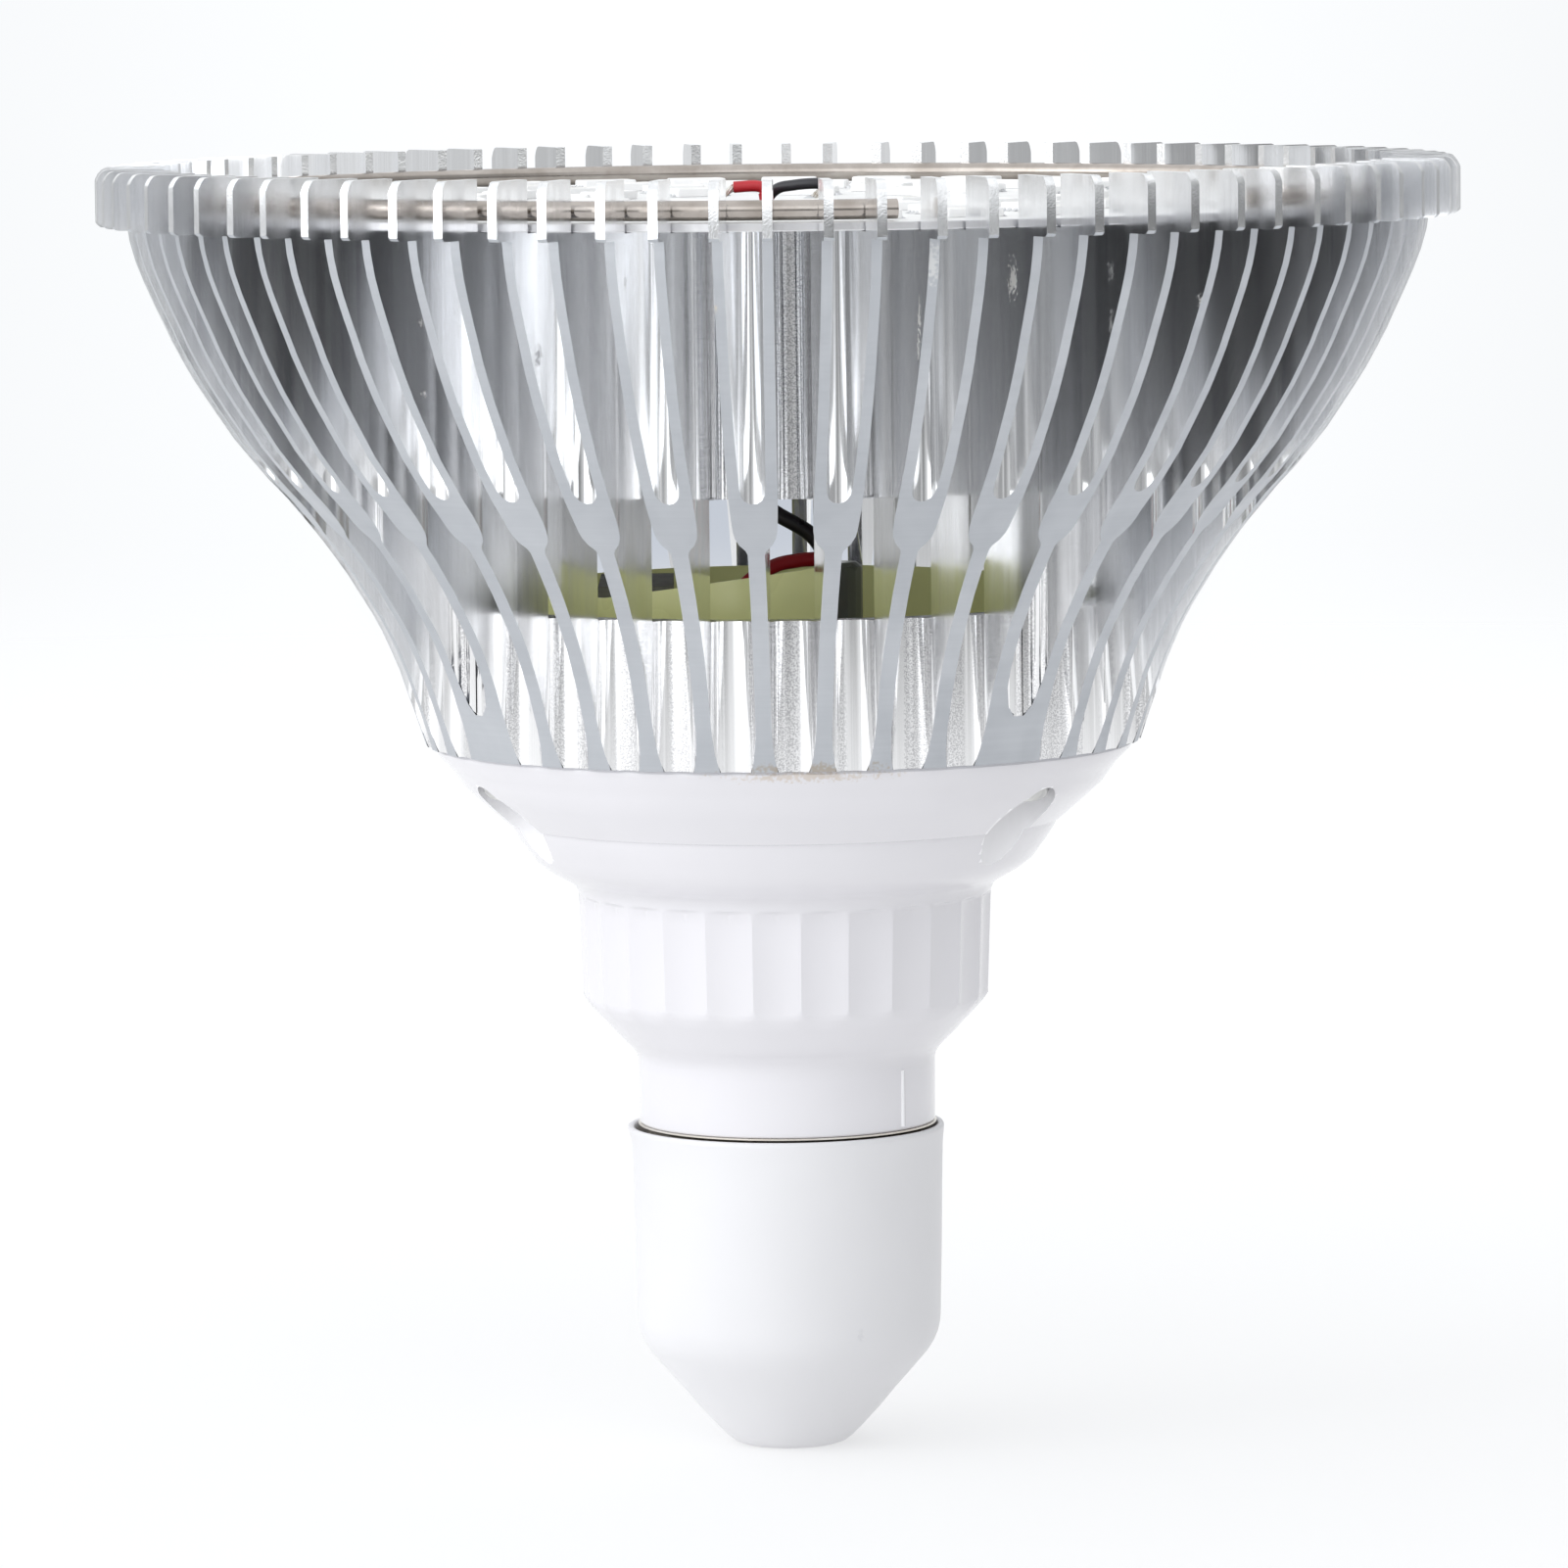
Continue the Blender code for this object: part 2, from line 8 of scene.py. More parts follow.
import bmesh
import bpy
import numpy as np
from mathutils import Euler, Matrix, Vector, noise


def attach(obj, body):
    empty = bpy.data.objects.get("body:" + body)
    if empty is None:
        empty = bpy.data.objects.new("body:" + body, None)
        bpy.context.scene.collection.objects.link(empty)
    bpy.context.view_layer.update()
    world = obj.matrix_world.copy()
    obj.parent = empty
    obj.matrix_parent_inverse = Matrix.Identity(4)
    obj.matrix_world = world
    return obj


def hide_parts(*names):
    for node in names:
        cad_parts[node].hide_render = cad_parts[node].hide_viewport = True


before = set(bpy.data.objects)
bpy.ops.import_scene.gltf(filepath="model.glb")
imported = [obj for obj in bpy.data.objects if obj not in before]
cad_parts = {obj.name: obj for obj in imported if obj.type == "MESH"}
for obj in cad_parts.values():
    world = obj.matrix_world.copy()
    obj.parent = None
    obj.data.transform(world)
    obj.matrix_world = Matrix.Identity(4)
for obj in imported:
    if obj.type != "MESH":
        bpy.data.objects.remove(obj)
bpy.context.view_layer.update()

MM = 0.001
RIM_HEIGHT = 113.0
STEMS = 40
STEM_PHASE = -2.94
PITCH = 360.0 / STEMS
WIDE_ROOTS = (-6, 4, 14, 24)
PORT_RADIUS = 26.0
PORT_AZIMUTHS = (-67.3, 52.7, 172.7)
BOARD_TOP = -3.72
BOARD_BOTTOM = -4.48


def level(z):
    return (z + RIM_HEIGHT) * MM


def polar(r, azimuth, along=0.0):
    a = math.radians(azimuth)
    return (r * math.sin(a) + along * math.cos(a), -r * math.cos(a) + along * math.sin(a))


def point(x, y, z):
    return Vector((x * MM, y * MM, level(z)))


# ---- node helpers ---------------------------------------------------------------------------------------------------
class Graph:
    """A material's node tree with short ways to add and join nodes."""

    def __init__(self, name):
        self.material = bpy.data.materials.new(name)
        self.material.use_nodes = True
        self.tree = self.material.node_tree
        self.shader = self.tree.nodes["Principled BSDF"]
        self._coords = None
        self._rag = None

    def node(self, kind, **values):
        n = self.tree.nodes.new(kind)
        for key, value in values.items():
            setattr(n, key, value)
        return n

    def link(self, a, b):
        self.tree.links.new(a, b)

    def feed(self, socket, value):
        if isinstance(value, bpy.types.NodeSocket):
            self.link(value, socket)
        elif isinstance(value, (tuple, list)) and len(value) == 3 and socket.type == "RGBA":
            socket.default_value = (*value, 1.0)
        else:
            socket.default_value = value

    def coords(self):
        if self._coords is None:
            self._coords = self.node("ShaderNodeTexCoord").outputs["Object"]
        return self._coords

    def scaled(self, scale, vector=None, rotation=None):
        m = self.node("ShaderNodeMapping")
        self.link(vector or self.coords(), m.inputs["Vector"])
        m.inputs["Scale"].default_value = scale if isinstance(scale, (tuple, list)) else (scale,) * 3
        if rotation:
            m.inputs["Rotation"].default_value = rotation
        return m.outputs[0]

    def noise(self, scale, detail=3.0, rough=0.5, vector=None, distortion=0.0):
        n = self.node("ShaderNodeTexNoise")
        self.link(vector or self.coords(), n.inputs["Vector"])
        n.inputs["Scale"].default_value = scale
        n.inputs["Detail"].default_value = detail
        n.inputs["Roughness"].default_value = rough
        n.inputs["Distortion"].default_value = distortion
        return n.outputs["Fac"]

    def voronoi(self, scale, feature="F1", vector=None, output="Distance"):
        n = self.node("ShaderNodeTexVoronoi", feature=feature)
        self.link(vector or self.coords(), n.inputs["Vector"])
        n.inputs["Scale"].default_value = scale
        return n.outputs[output]

    def math(self, operation, a, b=None, c=None, clamp=False):
        n = self.node("ShaderNodeMath", operation=operation, use_clamp=clamp)
        for socket, value in zip(n.inputs, (a, b, c)):
            if value is not None:
                self.feed(socket, value)
        return n.outputs[0]

    def spread(self, value, low, high, to_low=0.0, to_high=1.0, smooth=False):
        n = self.node("ShaderNodeMapRange", interpolation_type="SMOOTHSTEP" if smooth else "LINEAR")
        self.feed(n.inputs["Value"], value)
        n.inputs["From Min"].default_value = low
        n.inputs["From Max"].default_value = high
        n.inputs["To Min"].default_value = to_low
        n.inputs["To Max"].default_value = to_high
        return n.outputs["Result"]

    def mix(self, factor, a, b, blend="MIX"):
        n = self.node("ShaderNodeMix", data_type="RGBA", blend_type=blend)
        self.feed(n.inputs[0], factor)
        self.feed(n.inputs[6], a)
        self.feed(n.inputs[7], b)
        return n.outputs[2]

    def split(self, vector=None):
        n = self.node("ShaderNodeSeparateXYZ")
        self.link(vector or self.coords(), n.inputs[0])
        return n.outputs

    def join(self, x=0.0, y=0.0, z=0.0):
        n = self.node("ShaderNodeCombineXYZ")
        for socket, value in zip(n.inputs, (x, y, z)):
            self.feed(socket, value)
        return n.outputs[0]

    def radial(self):
        """Radius from the axis and angle round it."""
        x, y, z = self.split()
        r = self.math("SQRT", self.math("ADD", self.math("MULTIPLY", x, x), self.math("MULTIPLY", y, y)))
        return r, self.math("ARCTAN2", x, self.math("MULTIPLY", y, -1.0)), z

    def spot(self, centre, size, rag=0.5):
        """Mask of a ragged mark: 1 at its middle, 0 outside; centre and half sizes in metres."""
        away = self.node("ShaderNodeVectorMath", operation="SUBTRACT")
        self.link(self.coords(), away.inputs[0])
        away.inputs[1].default_value = centre
        shaped = self.node("ShaderNodeVectorMath", operation="MULTIPLY")
        self.link(away.outputs[0], shaped.inputs[0])
        shaped.inputs[1].default_value = tuple(1.0 / v for v in size)
        length = self.node("ShaderNodeVectorMath", operation="LENGTH")
        self.link(shaped.outputs[0], length.inputs[0])
        if self._rag is None:
            self._rag = self.math("SUBTRACT", self.noise(2600.0, 1.0, 0.7), 0.5)
        ragged = self.math("MULTIPLY_ADD", self._rag, 6.0 * rag, length.outputs["Value"])
        return self.spread(ragged, 0.15, 1.1, 1.0, 0.0, smooth=True)

    def bump(self, height, distance, strength=1.0, normal=None):
        n = self.node("ShaderNodeBump")
        self.link(height, n.inputs["Height"])
        n.inputs["Distance"].default_value = distance
        n.inputs["Strength"].default_value = strength
        if normal is not None:
            self.link(normal, n.inputs["Normal"])
        return n.outputs[0]

    def finish(self, colour, rough, metallic=0.0, normal=None, **sockets):
        s = self.shader.inputs
        self.feed(s["Base Color"], colour)
        self.feed(s["Roughness"], rough)
        self.feed(s["Metallic"], metallic)
        if normal is not None:
            self.link(normal, s["Normal"])
        for name, value in sockets.items():
            s[name.replace("_", " ")].default_value = value
        return self.material


# oily brown line where the sink meets the housing, at the front
JOINT = (0.0026, -0.0323, 0.06115)


# ---- materials ------------------------------------------------------------------------------------------------------
def aluminium_turned():
    """Lathe-cut faces: matt, fine grooves round the axis."""
    g = Graph("aluminium_turned")
    r, angle, z = g.radial()
    lines = g.noise(1.0, 2.0, 0.65, g.join(g.math("MULTIPLY", r, 3200.0), g.math("MULTIPLY", angle, 0.8),
                                            g.math("MULTIPLY", z, 3200.0)))
    coarse = g.noise(420.0, 1.0, 0.5)
    blotch = g.noise(60.0, 2.0, 0.6)
    colour = g.mix(g.spread(g.math("ADD", g.math("MULTIPLY", lines, 0.22), g.math("MULTIPLY", blotch, 0.78)), 0.3, 0.7),
                   (0.47, 0.49, 0.52), (0.57, 0.59, 0.62))
    rough = g.spread(coarse, 0.3, 0.7, 0.40, 0.56)
    colour = g.mix(g.math("MULTIPLY", g.spot(JOINT, (0.0075, 0.004, 0.0006), 0.4), 0.55), colour, (0.36, 0.27, 0.16))
    colour = g.mix(g.math("MULTIPLY", g.spot((0.01282, -0.05641, 0.1058), (0.0008, 0.001, 0.0022), 0.5), 0.5), colour,
                   (0.80, 0.80, 0.78))
    colour = g.mix(g.math("MULTIPLY", g.spot((-0.00543, -0.05627, 0.10222), (0.0004, 0.0005, 0.0005), 0.3), 0.7), colour,
                   (0.74, 0.66, 0.52))
    return g.finish(colour, rough, 0.9)


# marks on the fins: place in metres, half sizes, how strong
SCUFFS = (((0.01962, -0.05005, 0.10407), (0.0009, 0.0011, 0.0019), 0.95),
          ((0.01176, -0.05300, 0.10110), (0.0005, 0.0007, 0.0016), 0.80),
          ((0.01160, -0.05260, 0.09900), (0.0004, 0.0006, 0.0017), 0.65),
          ((0.02798, -0.04758, 0.10454), (0.0006, 0.0006, 0.0008), 0.35),
          ((0.02803, -0.04766, 0.10024), (0.0004, 0.0004, 0.0013), 0.30),
          ((0.03574, -0.04339, 0.10188), (0.0005, 0.0005, 0.0006), 0.60),
          ((-0.03042, -0.04147, 0.10058), (0.0004, 0.0004, 0.0005), 0.5),
          ((-0.03027, -0.04127, 0.09455), (0.0006, 0.0006, 0.0004), 0.45))
SMUDGES = (((-0.02038, -0.04926, 0.09804), (0.0008, 0.0008, 0.0011), 0.5),
           ((-0.01286, -0.05349, 0.10431), (0.0006, 0.0006, 0.0008), 0.45))


def aluminium_drawn(name, tone, rough_low, rough_high, depth, metallic=1.0, marks=False, grain=0.0):
    """Extruded faces: bright, with streaks and die lines that run along the axis."""
    g = Graph(name)
    x, y, z = g.split()
    flat = g.join(x, y, g.math("MULTIPLY", z, 0.012))
    fine = g.noise(2600.0, 1.0, 0.6, flat)
    broad = g.noise(520.0, 1.0, 0.5, flat)
    hair = g.noise(7500.0, 0.0, 0.5, flat)
    streak = g.math("ADD", g.math("MULTIPLY", hair, 0.5), g.math("MULTIPLY", broad, 0.5))
    pits = g.spread(g.noise(1500.0, 0.0, 0.5), 0.70, 0.80)
    dark = tuple(c * 0.91 for c in tone)
    colour = g.mix(g.spread(streak, 0.34, 0.66), dark, tone)
    colour = g.mix(g.math("MULTIPLY", pits, 0.35), colour, (0.9, 0.9, 0.9))
    rough = g.spread(broad, 0.35, 0.65, rough_low, rough_high)
    height = g.math("MULTIPLY_ADD", fine, 0.4, broad)
    if marks:
        for centre, size, strength in SCUFFS:
            mask = g.math("MULTIPLY", g.spot(centre, size), strength)
            colour = g.mix(mask, colour, (0.93, 0.92, 0.88))
            rough = g.math("MAXIMUM", rough, g.math("MULTIPLY", mask, 0.62))
            metallic = g.math("MULTIPLY_ADD", mask, -0.9, metallic, clamp=True)
        for centre, size, strength in SMUDGES:
            mask = g.math("MULTIPLY", g.spot(centre, size, 0.35), strength)
            colour = g.mix(mask, colour, (0.30, 0.30, 0.31))
            rough = g.math("MAXIMUM", rough, g.math("MULTIPLY", mask, 0.8))
    if grain:
        # sandy bands where the die dragged
        sand = g.spread(g.noise(9000.0, 0.0, 0.5), 0.42, 0.62)
        band = g.spread(g.noise(620.0, 0.0, 0.5, flat), 0.50, 0.60)
        mask = g.math("MULTIPLY", g.math("MULTIPLY", sand, band), grain)
        colour = g.mix(mask, colour, (0.34, 0.34, 0.36))
    normal = g.bump(height, depth, 0.6)
    return g.finish(colour, rough, metallic, normal)


def plastic(name, colour, rough, bump_scale=900.0, bump_depth=0.00002, tint=None, subsurface=0.08, sheen_scale=0.0012,
            coat=0.0, stain=None):
    """Moulded plastic: faint flow marks, a fine orange peel and a little depth to the light."""
    g = Graph(name)
    flow = g.noise(55.0, 3.0, 0.55)
    cloud = g.noise(18.0, 2.0, 0.5)
    other = tint or tuple(c * 0.94 for c in colour)
    base = g.mix(g.spread(g.math("ADD", g.math("MULTIPLY", flow, 0.5), g.math("MULTIPLY", cloud, 0.5)), 0.35, 0.65),
                 colour, other)
    if stain:
        base = g.mix(g.math("MULTIPLY", g.spot(stain[0], stain[1], 0.45), stain[2]), base, stain[3])
    peel = g.noise(bump_scale, 2.0, 0.5)
    rgh = g.spread(flow, 0.3, 0.7, rough * 0.85, rough * 1.2)
    normal = g.bump(peel, bump_depth, 0.35)
    extra = {"Subsurface_Weight": subsurface, "Subsurface_Scale": sheen_scale} if subsurface else {}
    if coat:
        extra["Coat_Weight"] = coat
        extra["Coat_Roughness"] = 0.06
    return g.finish(base, rgh, 0.0, normal, **extra)


def metal(name, colour, dark, rough_low, rough_high, scale=300.0, depth=0.00002):
    g = Graph(name)
    blotch = g.noise(scale, 3.0, 0.6)
    fine = g.noise(scale * 6.0, 2.0, 0.5)
    base = g.mix(g.spread(blotch, 0.35, 0.7), colour, dark)
    rough = g.spread(blotch, 0.3, 0.7, rough_low, rough_high)
    return g.finish(base, rough, 1.0, g.bump(fine, depth, 0.5))


def plain(name, colour, other, rough_low, rough_high, scale=200.0, depth=0.00002, metallic=0.0, **extra):
    g = Graph(name)
    blotch = g.noise(scale, 3.0, 0.6)
    fine = g.noise(scale * 5.0, 2.0, 0.5)
    base = g.mix(g.spread(blotch, 0.35, 0.65), colour, other)
    rough = g.spread(blotch, 0.3, 0.7, rough_low, rough_high)
    return g.finish(base, rough, metallic, g.bump(fine, depth, 0.5), **extra)


TURNED = aluminium_turned()
DRAWN = aluminium_drawn("aluminium_drawn", (0.975, 0.98, 0.99), 0.11, 0.22, 0.00002, marks=True)
SMOOTH = aluminium_drawn("aluminium_drawn_far", (0.975, 0.98, 0.99), 0.11, 0.22, 0.00002)
FLOOR = aluminium_drawn("aluminium_valley", (0.96, 0.96, 0.965), 0.06, 0.15, 0.00004, grain=0.5)
TAB = metal("aluminium_tab_end", (0.94, 0.945, 0.955), (0.80, 0.81, 0.82), 0.14, 0.26, 900.0, 0.00003)
BORED = aluminium_drawn("aluminium_bore", (0.72, 0.73, 0.76), 0.22, 0.42, 0.00007, 0.9)
WHITE = plastic("white_plastic", (0.755, 0.745, 0.775), 0.16, coat=0.3, subsurface=0.0,
                stain=((0.0026, -0.0318, 0.0604), (0.0078, 0.004, 0.0005), 0.45, (0.52, 0.40, 0.26)))
# lighter white: painted light on the walls of the screw wells, and a painted highlight on the parting line ridge
PAINTED_LIGHT_WHITE = plastic("white_plastic_painted_light", (0.93, 0.925, 0.945), 0.2, subsurface=0.0)
# grey strip beside the parting line ridge: a painted shadow
PAINTED_SHADOW_GREY = plastic("white_plastic_painted_shadow", (0.40, 0.39, 0.41), 0.3, subsurface=0.0)
CAP = plastic("cap_plastic", (0.755, 0.752, 0.77), 0.36, bump_scale=1400.0, subsurface=0.0,
              stain=((0.0063, -0.0120, 0.0082), (0.0003, 0.0005, 0.0008), 0.30, (0.55, 0.55, 0.58)))
SPRING = metal("spring_wire", (0.50, 0.46, 0.425), (0.36, 0.32, 0.285), 0.14, 0.26, 260.0)
NICKEL = metal("nickel_plate", (0.74, 0.71, 0.66), (0.62, 0.57, 0.50), 0.18, 0.34, 180.0)
BRASS = metal("contact_brass", (0.76, 0.62, 0.36), (0.62, 0.50, 0.30), 0.22, 0.4, 300.0)
SOLDER = metal("solder", (0.72, 0.73, 0.74), (0.55, 0.56, 0.58), 0.2, 0.4, 700.0, 0.00005)
TINNED = metal("tinned_copper", (0.80, 0.79, 0.76), (0.60, 0.52, 0.42), 0.18, 0.34, 900.0)
ZINC = metal("zinc_screw", (0.66, 0.66, 0.64), (0.50, 0.50, 0.50), 0.25, 0.42, 500.0)
CORE = metal("board_core", (0.86, 0.86, 0.87), (0.76, 0.76, 0.78), 0.28, 0.42, 400.0)
MASK = plain("solder_mask", (0.85, 0.855, 0.85), (0.815, 0.82, 0.815), 0.28, 0.42, 120.0)
PACKAGE = plain("led_package", (0.97, 0.97, 0.97), (0.93, 0.93, 0.93), 0.3, 0.45, 800.0)
PHOSPHOR = plain("led_phosphor", (0.93, 0.87, 0.66), (0.94, 0.89, 0.72), 0.18, 0.3, 1200.0)
CLEAR_DIE = plain("led_clear_window", (0.80, 0.78, 0.74), (0.84, 0.82, 0.76), 0.1, 0.2, 1200.0)
GLASS = plain("base_insulator_black", (0.02, 0.02, 0.024), (0.035, 0.03, 0.035), 0.08, 0.2, 200.0)
# thin sheet with a faint emission: a painted glow that stands in for light coming through it from behind
FILM_PAINTED_GLOW = plain("yellow_film", (0.80, 0.82, 0.37), (0.73, 0.75, 0.32), 0.22, 0.34, 90.0, 0.00005,
             Emission_Color=(0.80, 0.82, 0.42, 1.0), Emission_Strength=0.10)
LAMINATE = plain("driver_laminate", (0.05, 0.22, 0.10), (0.07, 0.27, 0.12), 0.3, 0.45, 150.0)
FERRITE = plain("ferrite", (0.26, 0.26, 0.235), (0.21, 0.21, 0.19), 0.5, 0.7, 700.0, 0.00005)
TAPE = plain("winding_tape", (0.66, 0.55, 0.10), (0.58, 0.47, 0.08), 0.25, 0.4, 160.0)
CAN_BLACK = plain("capacitor_sleeve", (0.03, 0.03, 0.04), (0.045, 0.045, 0.055), 0.18, 0.3, 120.0)
CAN_GREEN = plain("dark_green_sleeve", (0.24, 0.26, 0.235), (0.28, 0.30, 0.27), 0.2, 0.35, 120.0)
CAN_TOP = metal("can_aluminium", (0.78, 0.79, 0.80), (0.66, 0.67, 0.68), 0.25, 0.4, 500.0)
FILM_BOX = plain("film_capacitor_box", (0.55, 0.08, 0.04), (0.48, 0.06, 0.03), 0.25, 0.4, 200.0)
CHIP = plain("moulded_black", (0.022, 0.022, 0.022), (0.035, 0.035, 0.035), 0.45, 0.6, 900.0, 0.00005)
RESISTOR = plain("resistor_body", (0.25, 0.38, 0.30), (0.22, 0.34, 0.27), 0.35, 0.5, 300.0)
RED = plain("red_insulation", (0.52, 0.018, 0.028), (0.44, 0.014, 0.022), 0.28, 0.42, 300.0)
BLACK = plain("black_insulation", (0.018, 0.018, 0.024), (0.03, 0.03, 0.036), 0.25, 0.4, 300.0)
BROWN = plain("brown_insulation", (0.22, 0.08, 0.03), (0.18, 0.065, 0.025), 0.3, 0.45, 300.0)
BLUE = plain("blue_insulation", (0.04, 0.10, 0.40), (0.03, 0.08, 0.34), 0.3, 0.45, 300.0)


# ---- mesh helpers ---------------------------------------------------------------------------------------------------
def build(name, vertices, faces, materials, indices=None, body="bulb", sharp=32.0, weld=0.0):
    """Mesh object from lists, shaded smooth with sharp edges by angle."""
    mesh = bpy.data.meshes.new(name)
    mesh.from_pydata([tuple(v) for v in vertices], [], faces)
    for m in materials:
        mesh.materials.append(m)
    if indices is not None:
        mesh.polygons.foreach_set("material_index", np.array(indices, np.int32))
    bm = bmesh.new()
    bm.from_mesh(mesh)
    if weld:
        bmesh.ops.remove_doubles(bm, verts=bm.verts, dist=weld)
    bmesh.ops.recalc_face_normals(bm, faces=bm.faces)
    bm.to_mesh(mesh)
    bm.free()
    mesh.shade_smooth()
    mesh.set_sharp_from_angle(angle=math.radians(sharp))
    obj = bpy.data.objects.new(name, mesh)
    bpy.context.scene.collection.objects.link(obj)
    if body:
        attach(obj, body)
    return obj


class Soup:
    """Collects vertices and faces for one object."""

    def __init__(self):
        self.v, self.f, self.m = [], [], []

    def add(self, points, material=0):
        n = len(self.v)
        self.v.extend(points)
        self.f.append(tuple(range(n, n + len(points))))
        self.m.append(material)

    def grid(self, rows, material=0, closed=False, ends=(False, False)):
        """Skin over rows of points; closed joins each row's last point to its first."""
        n = len(self.v)
        w = len(rows[0])
        for row in rows:
            self.v.extend(row)
        for a in range(len(rows) - 1):
            for i in range(w if closed else w - 1):
                j = (i + 1) % w
                self.f.append((n + a * w + i, n + a * w + j, n + (a + 1) * w + j, n + (a + 1) * w + i))
                self.m.append(material[a] if isinstance(material, (list, tuple)) else material)
        last = material[-1] if isinstance(material, (list, tuple)) else material
        if ends[0]:
            self.f.append(tuple(n + i for i in reversed(range(w))))
            self.m.append(material[0] if isinstance(material, (list, tuple)) else material)
        if ends[1]:
            self.f.append(tuple(n + (len(rows) - 1) * w + i for i in range(w)))
            self.m.append(last)

    def make(self, name, materials, **options):
        return build(name, self.v, self.f, materials, self.m, **options)


def turned_rows(profile, segments=96, at=(0.0, 0.0), shape=None):
    rows = []
    for r, z in profile:
        row = []
        for i in range(segments):
            az = 360.0 * i / segments
            rr, zz = shape(r, az, z) if shape else (r, z)
            x, y = polar(rr, az)
            row.append(point(at[0] + x, at[1] + y, zz))
        rows.append(row)
    return rows


def rounded(points, radius, steps=4):
    """Replace the corners of an open (r, z) profile by small arcs; radius may be a list."""
    out = [points[0]]
    for k in range(1, len(points) - 1):
        a, b, c = (Vector(points[k - 1]), Vector(points[k]), Vector(points[k + 1]))
        rad = radius[k] if isinstance(radius, (list, tuple)) else radius
        u, w = (a - b), (c - b)
        lu, lw = u.length, w.length
        if rad <= 0 or lu < 1e-6 or lw < 1e-6:
            out.append(points[k])
            continue
        u.normalize()
        w.normalize()
        cut = min(rad, lu * 0.45, lw * 0.45)
        p, q = b + u * cut, b + w * cut
        for s in range(steps + 1):
            t = s / steps
            s1 = p.lerp(b, t)
            s2 = b.lerp(q, t)
            v = s1.lerp(s2, t)
            out.append((v.x, v.y))
    out.append(points[-1])
    return out


def smooth_path(points, steps):
    """Catmull-Rom curve through a route's own points."""
    pts = [points[0]] + list(points) + [points[-1]]
    out = []
    for k in range(len(pts) - 3):
        p0, p1, p2, p3 = pts[k:k + 4]
        for s in range(steps):
            t = s / steps
            out.append(tuple(
                0.5 * (2 * b + (c - a) * t + (2 * a - 5 * b + 4 * c - d) * t * t + (3 * b - a - 3 * c + d) * t ** 3)
                for a, b, c, d in zip(p0, p1, p2, p3)))
    out.append(tuple(pts[-2]))
    return out


def tube_rows(points, radius, sides=12, squash=None):
    """Rings of points along a path of (x, y, height) in millimetres; radius may be a function of 0..1."""
    pts = [Vector(p) for p in points]
    tangents = []
    for i in range(len(pts)):
        t = pts[min(i + 1, len(pts) - 1)] - pts[max(i - 1, 0)]
        tangents.append(t.normalized())
    up = Vector((0, 0, 1)) if abs(tangents[0].z) < 0.9 else Vector((1, 0, 0))
    side = tangents[0].cross(up).normalized()
    rows = []
    for i, (p, t) in enumerate(zip(pts, tangents)):
        side = (side - t * side.dot(t)).normalized()
        other = t.cross(side)
        r = radius(i / (len(pts) - 1)) if callable(radius) else radius
        row = []
        for k in range(sides):
            a = 2 * math.pi * k / sides
            q = p + (side * math.cos(a) + other * math.sin(a)) * r
            row.append(point(q.x, q.y, q.z))
        rows.append(row)
    return rows


def add_tube(soup, points, radius, sides=12, material=0, dome=True):
    rows = tube_rows(points, radius, sides)
    if dome:
        r0 = radius(0.0) if callable(radius) else radius
        first, last = Vector(points[0]), Vector(points[-1])
        t0 = (Vector(points[1]) - first).normalized()
        t1 = (last - Vector(points[-2])).normalized()
        head, tail = [], []
        for k in (1, 2, 3):
            f = math.cos(k * math.pi / 8)
            push = math.sin(k * math.pi / 8) * r0 * 0.5
            c0 = point(*(first - t0 * push))
            c1 = point(*(last + t1 * push))
            m0 = sum(rows[0], Vector()) / len(rows[0])
            m1 = sum(rows[-1], Vector()) / len(rows[-1])
            head.append([c0 + (v - m0) * f for v in rows[0]])
            tail.append([c1 + (v - m1) * f for v in rows[-1]])
        rows = list(reversed(head)) + rows + tail
    soup.grid(rows, material, closed=True, ends=(True, True))


def box_faces(soup, low, high, material=0, bevel=0.12, steps=2):
    """Box with rounded edges, in millimetres."""
    bm = bmesh.new()
    bmesh.ops.create_cube(bm, size=1.0)
    size = [high[i] - low[i] for i in range(3)]
    centre = [(high[i] + low[i]) / 2 for i in range(3)]
    for v in bm.verts:
        v.co = Vector([centre[i] + v.co[i] * size[i] for i in range(3)])
    if bevel:
        bmesh.ops.bevel(bm, geom=list(bm.edges), offset=bevel, segments=steps, profile=0.5, affect="EDGES")
    bm.verts.ensure_lookup_table()
    n = len(soup.v)
    soup.v.extend(point(*v.co) for v in bm.verts)
    for f in bm.faces:
        soup.f.append(tuple(n + v.index for v in f.verts))
        soup.m.append(material)
    bm.free()


# ---- heat sink ------------------------------------------------------------------------------------------------------
SINK_PROFILE = (
    (32.2, -52.1), (32.7, -50.6), (33.3, -48.8), (33.9, -47.1), (34.5, -45.3), (35.2, -43.6), (36.0, -41.8),
    (36.9, -40.1), (38.0, -38.3), (39.1, -36.5), (40.3, -34.8), (41.6, -33.0), (43.0, -31.3), (44.5, -29.5),
    (46.1, -27.8), (47.6, -26.0), (49.0, -24.3), (50.2, -22.5), (51.4, -20.7), (52.5, -19.0), (53.5, -17.2),
    (54.4, -15.5), (55.2, -13.7), (56.0, -12.0), (56.8, -10.2), (57.5, -8.4), (58.0, -6.7), (58.22, -5.1))
SINK_R = np.array([p[0] for p in SINK_PROFILE])
SINK_Z = np.array([p[1] for p in SINK_PROFILE])
BOTTOM, GROOVE_TOP, GROOVE_BOTTOM, LEDGE = -52.1, -28.4, -38.95, -4.55
BORE, HUB, GROOVE, RAISED, RECESS, RIM = 30.0, 31.78, 33.3, 33.62, 55.0, 61.0
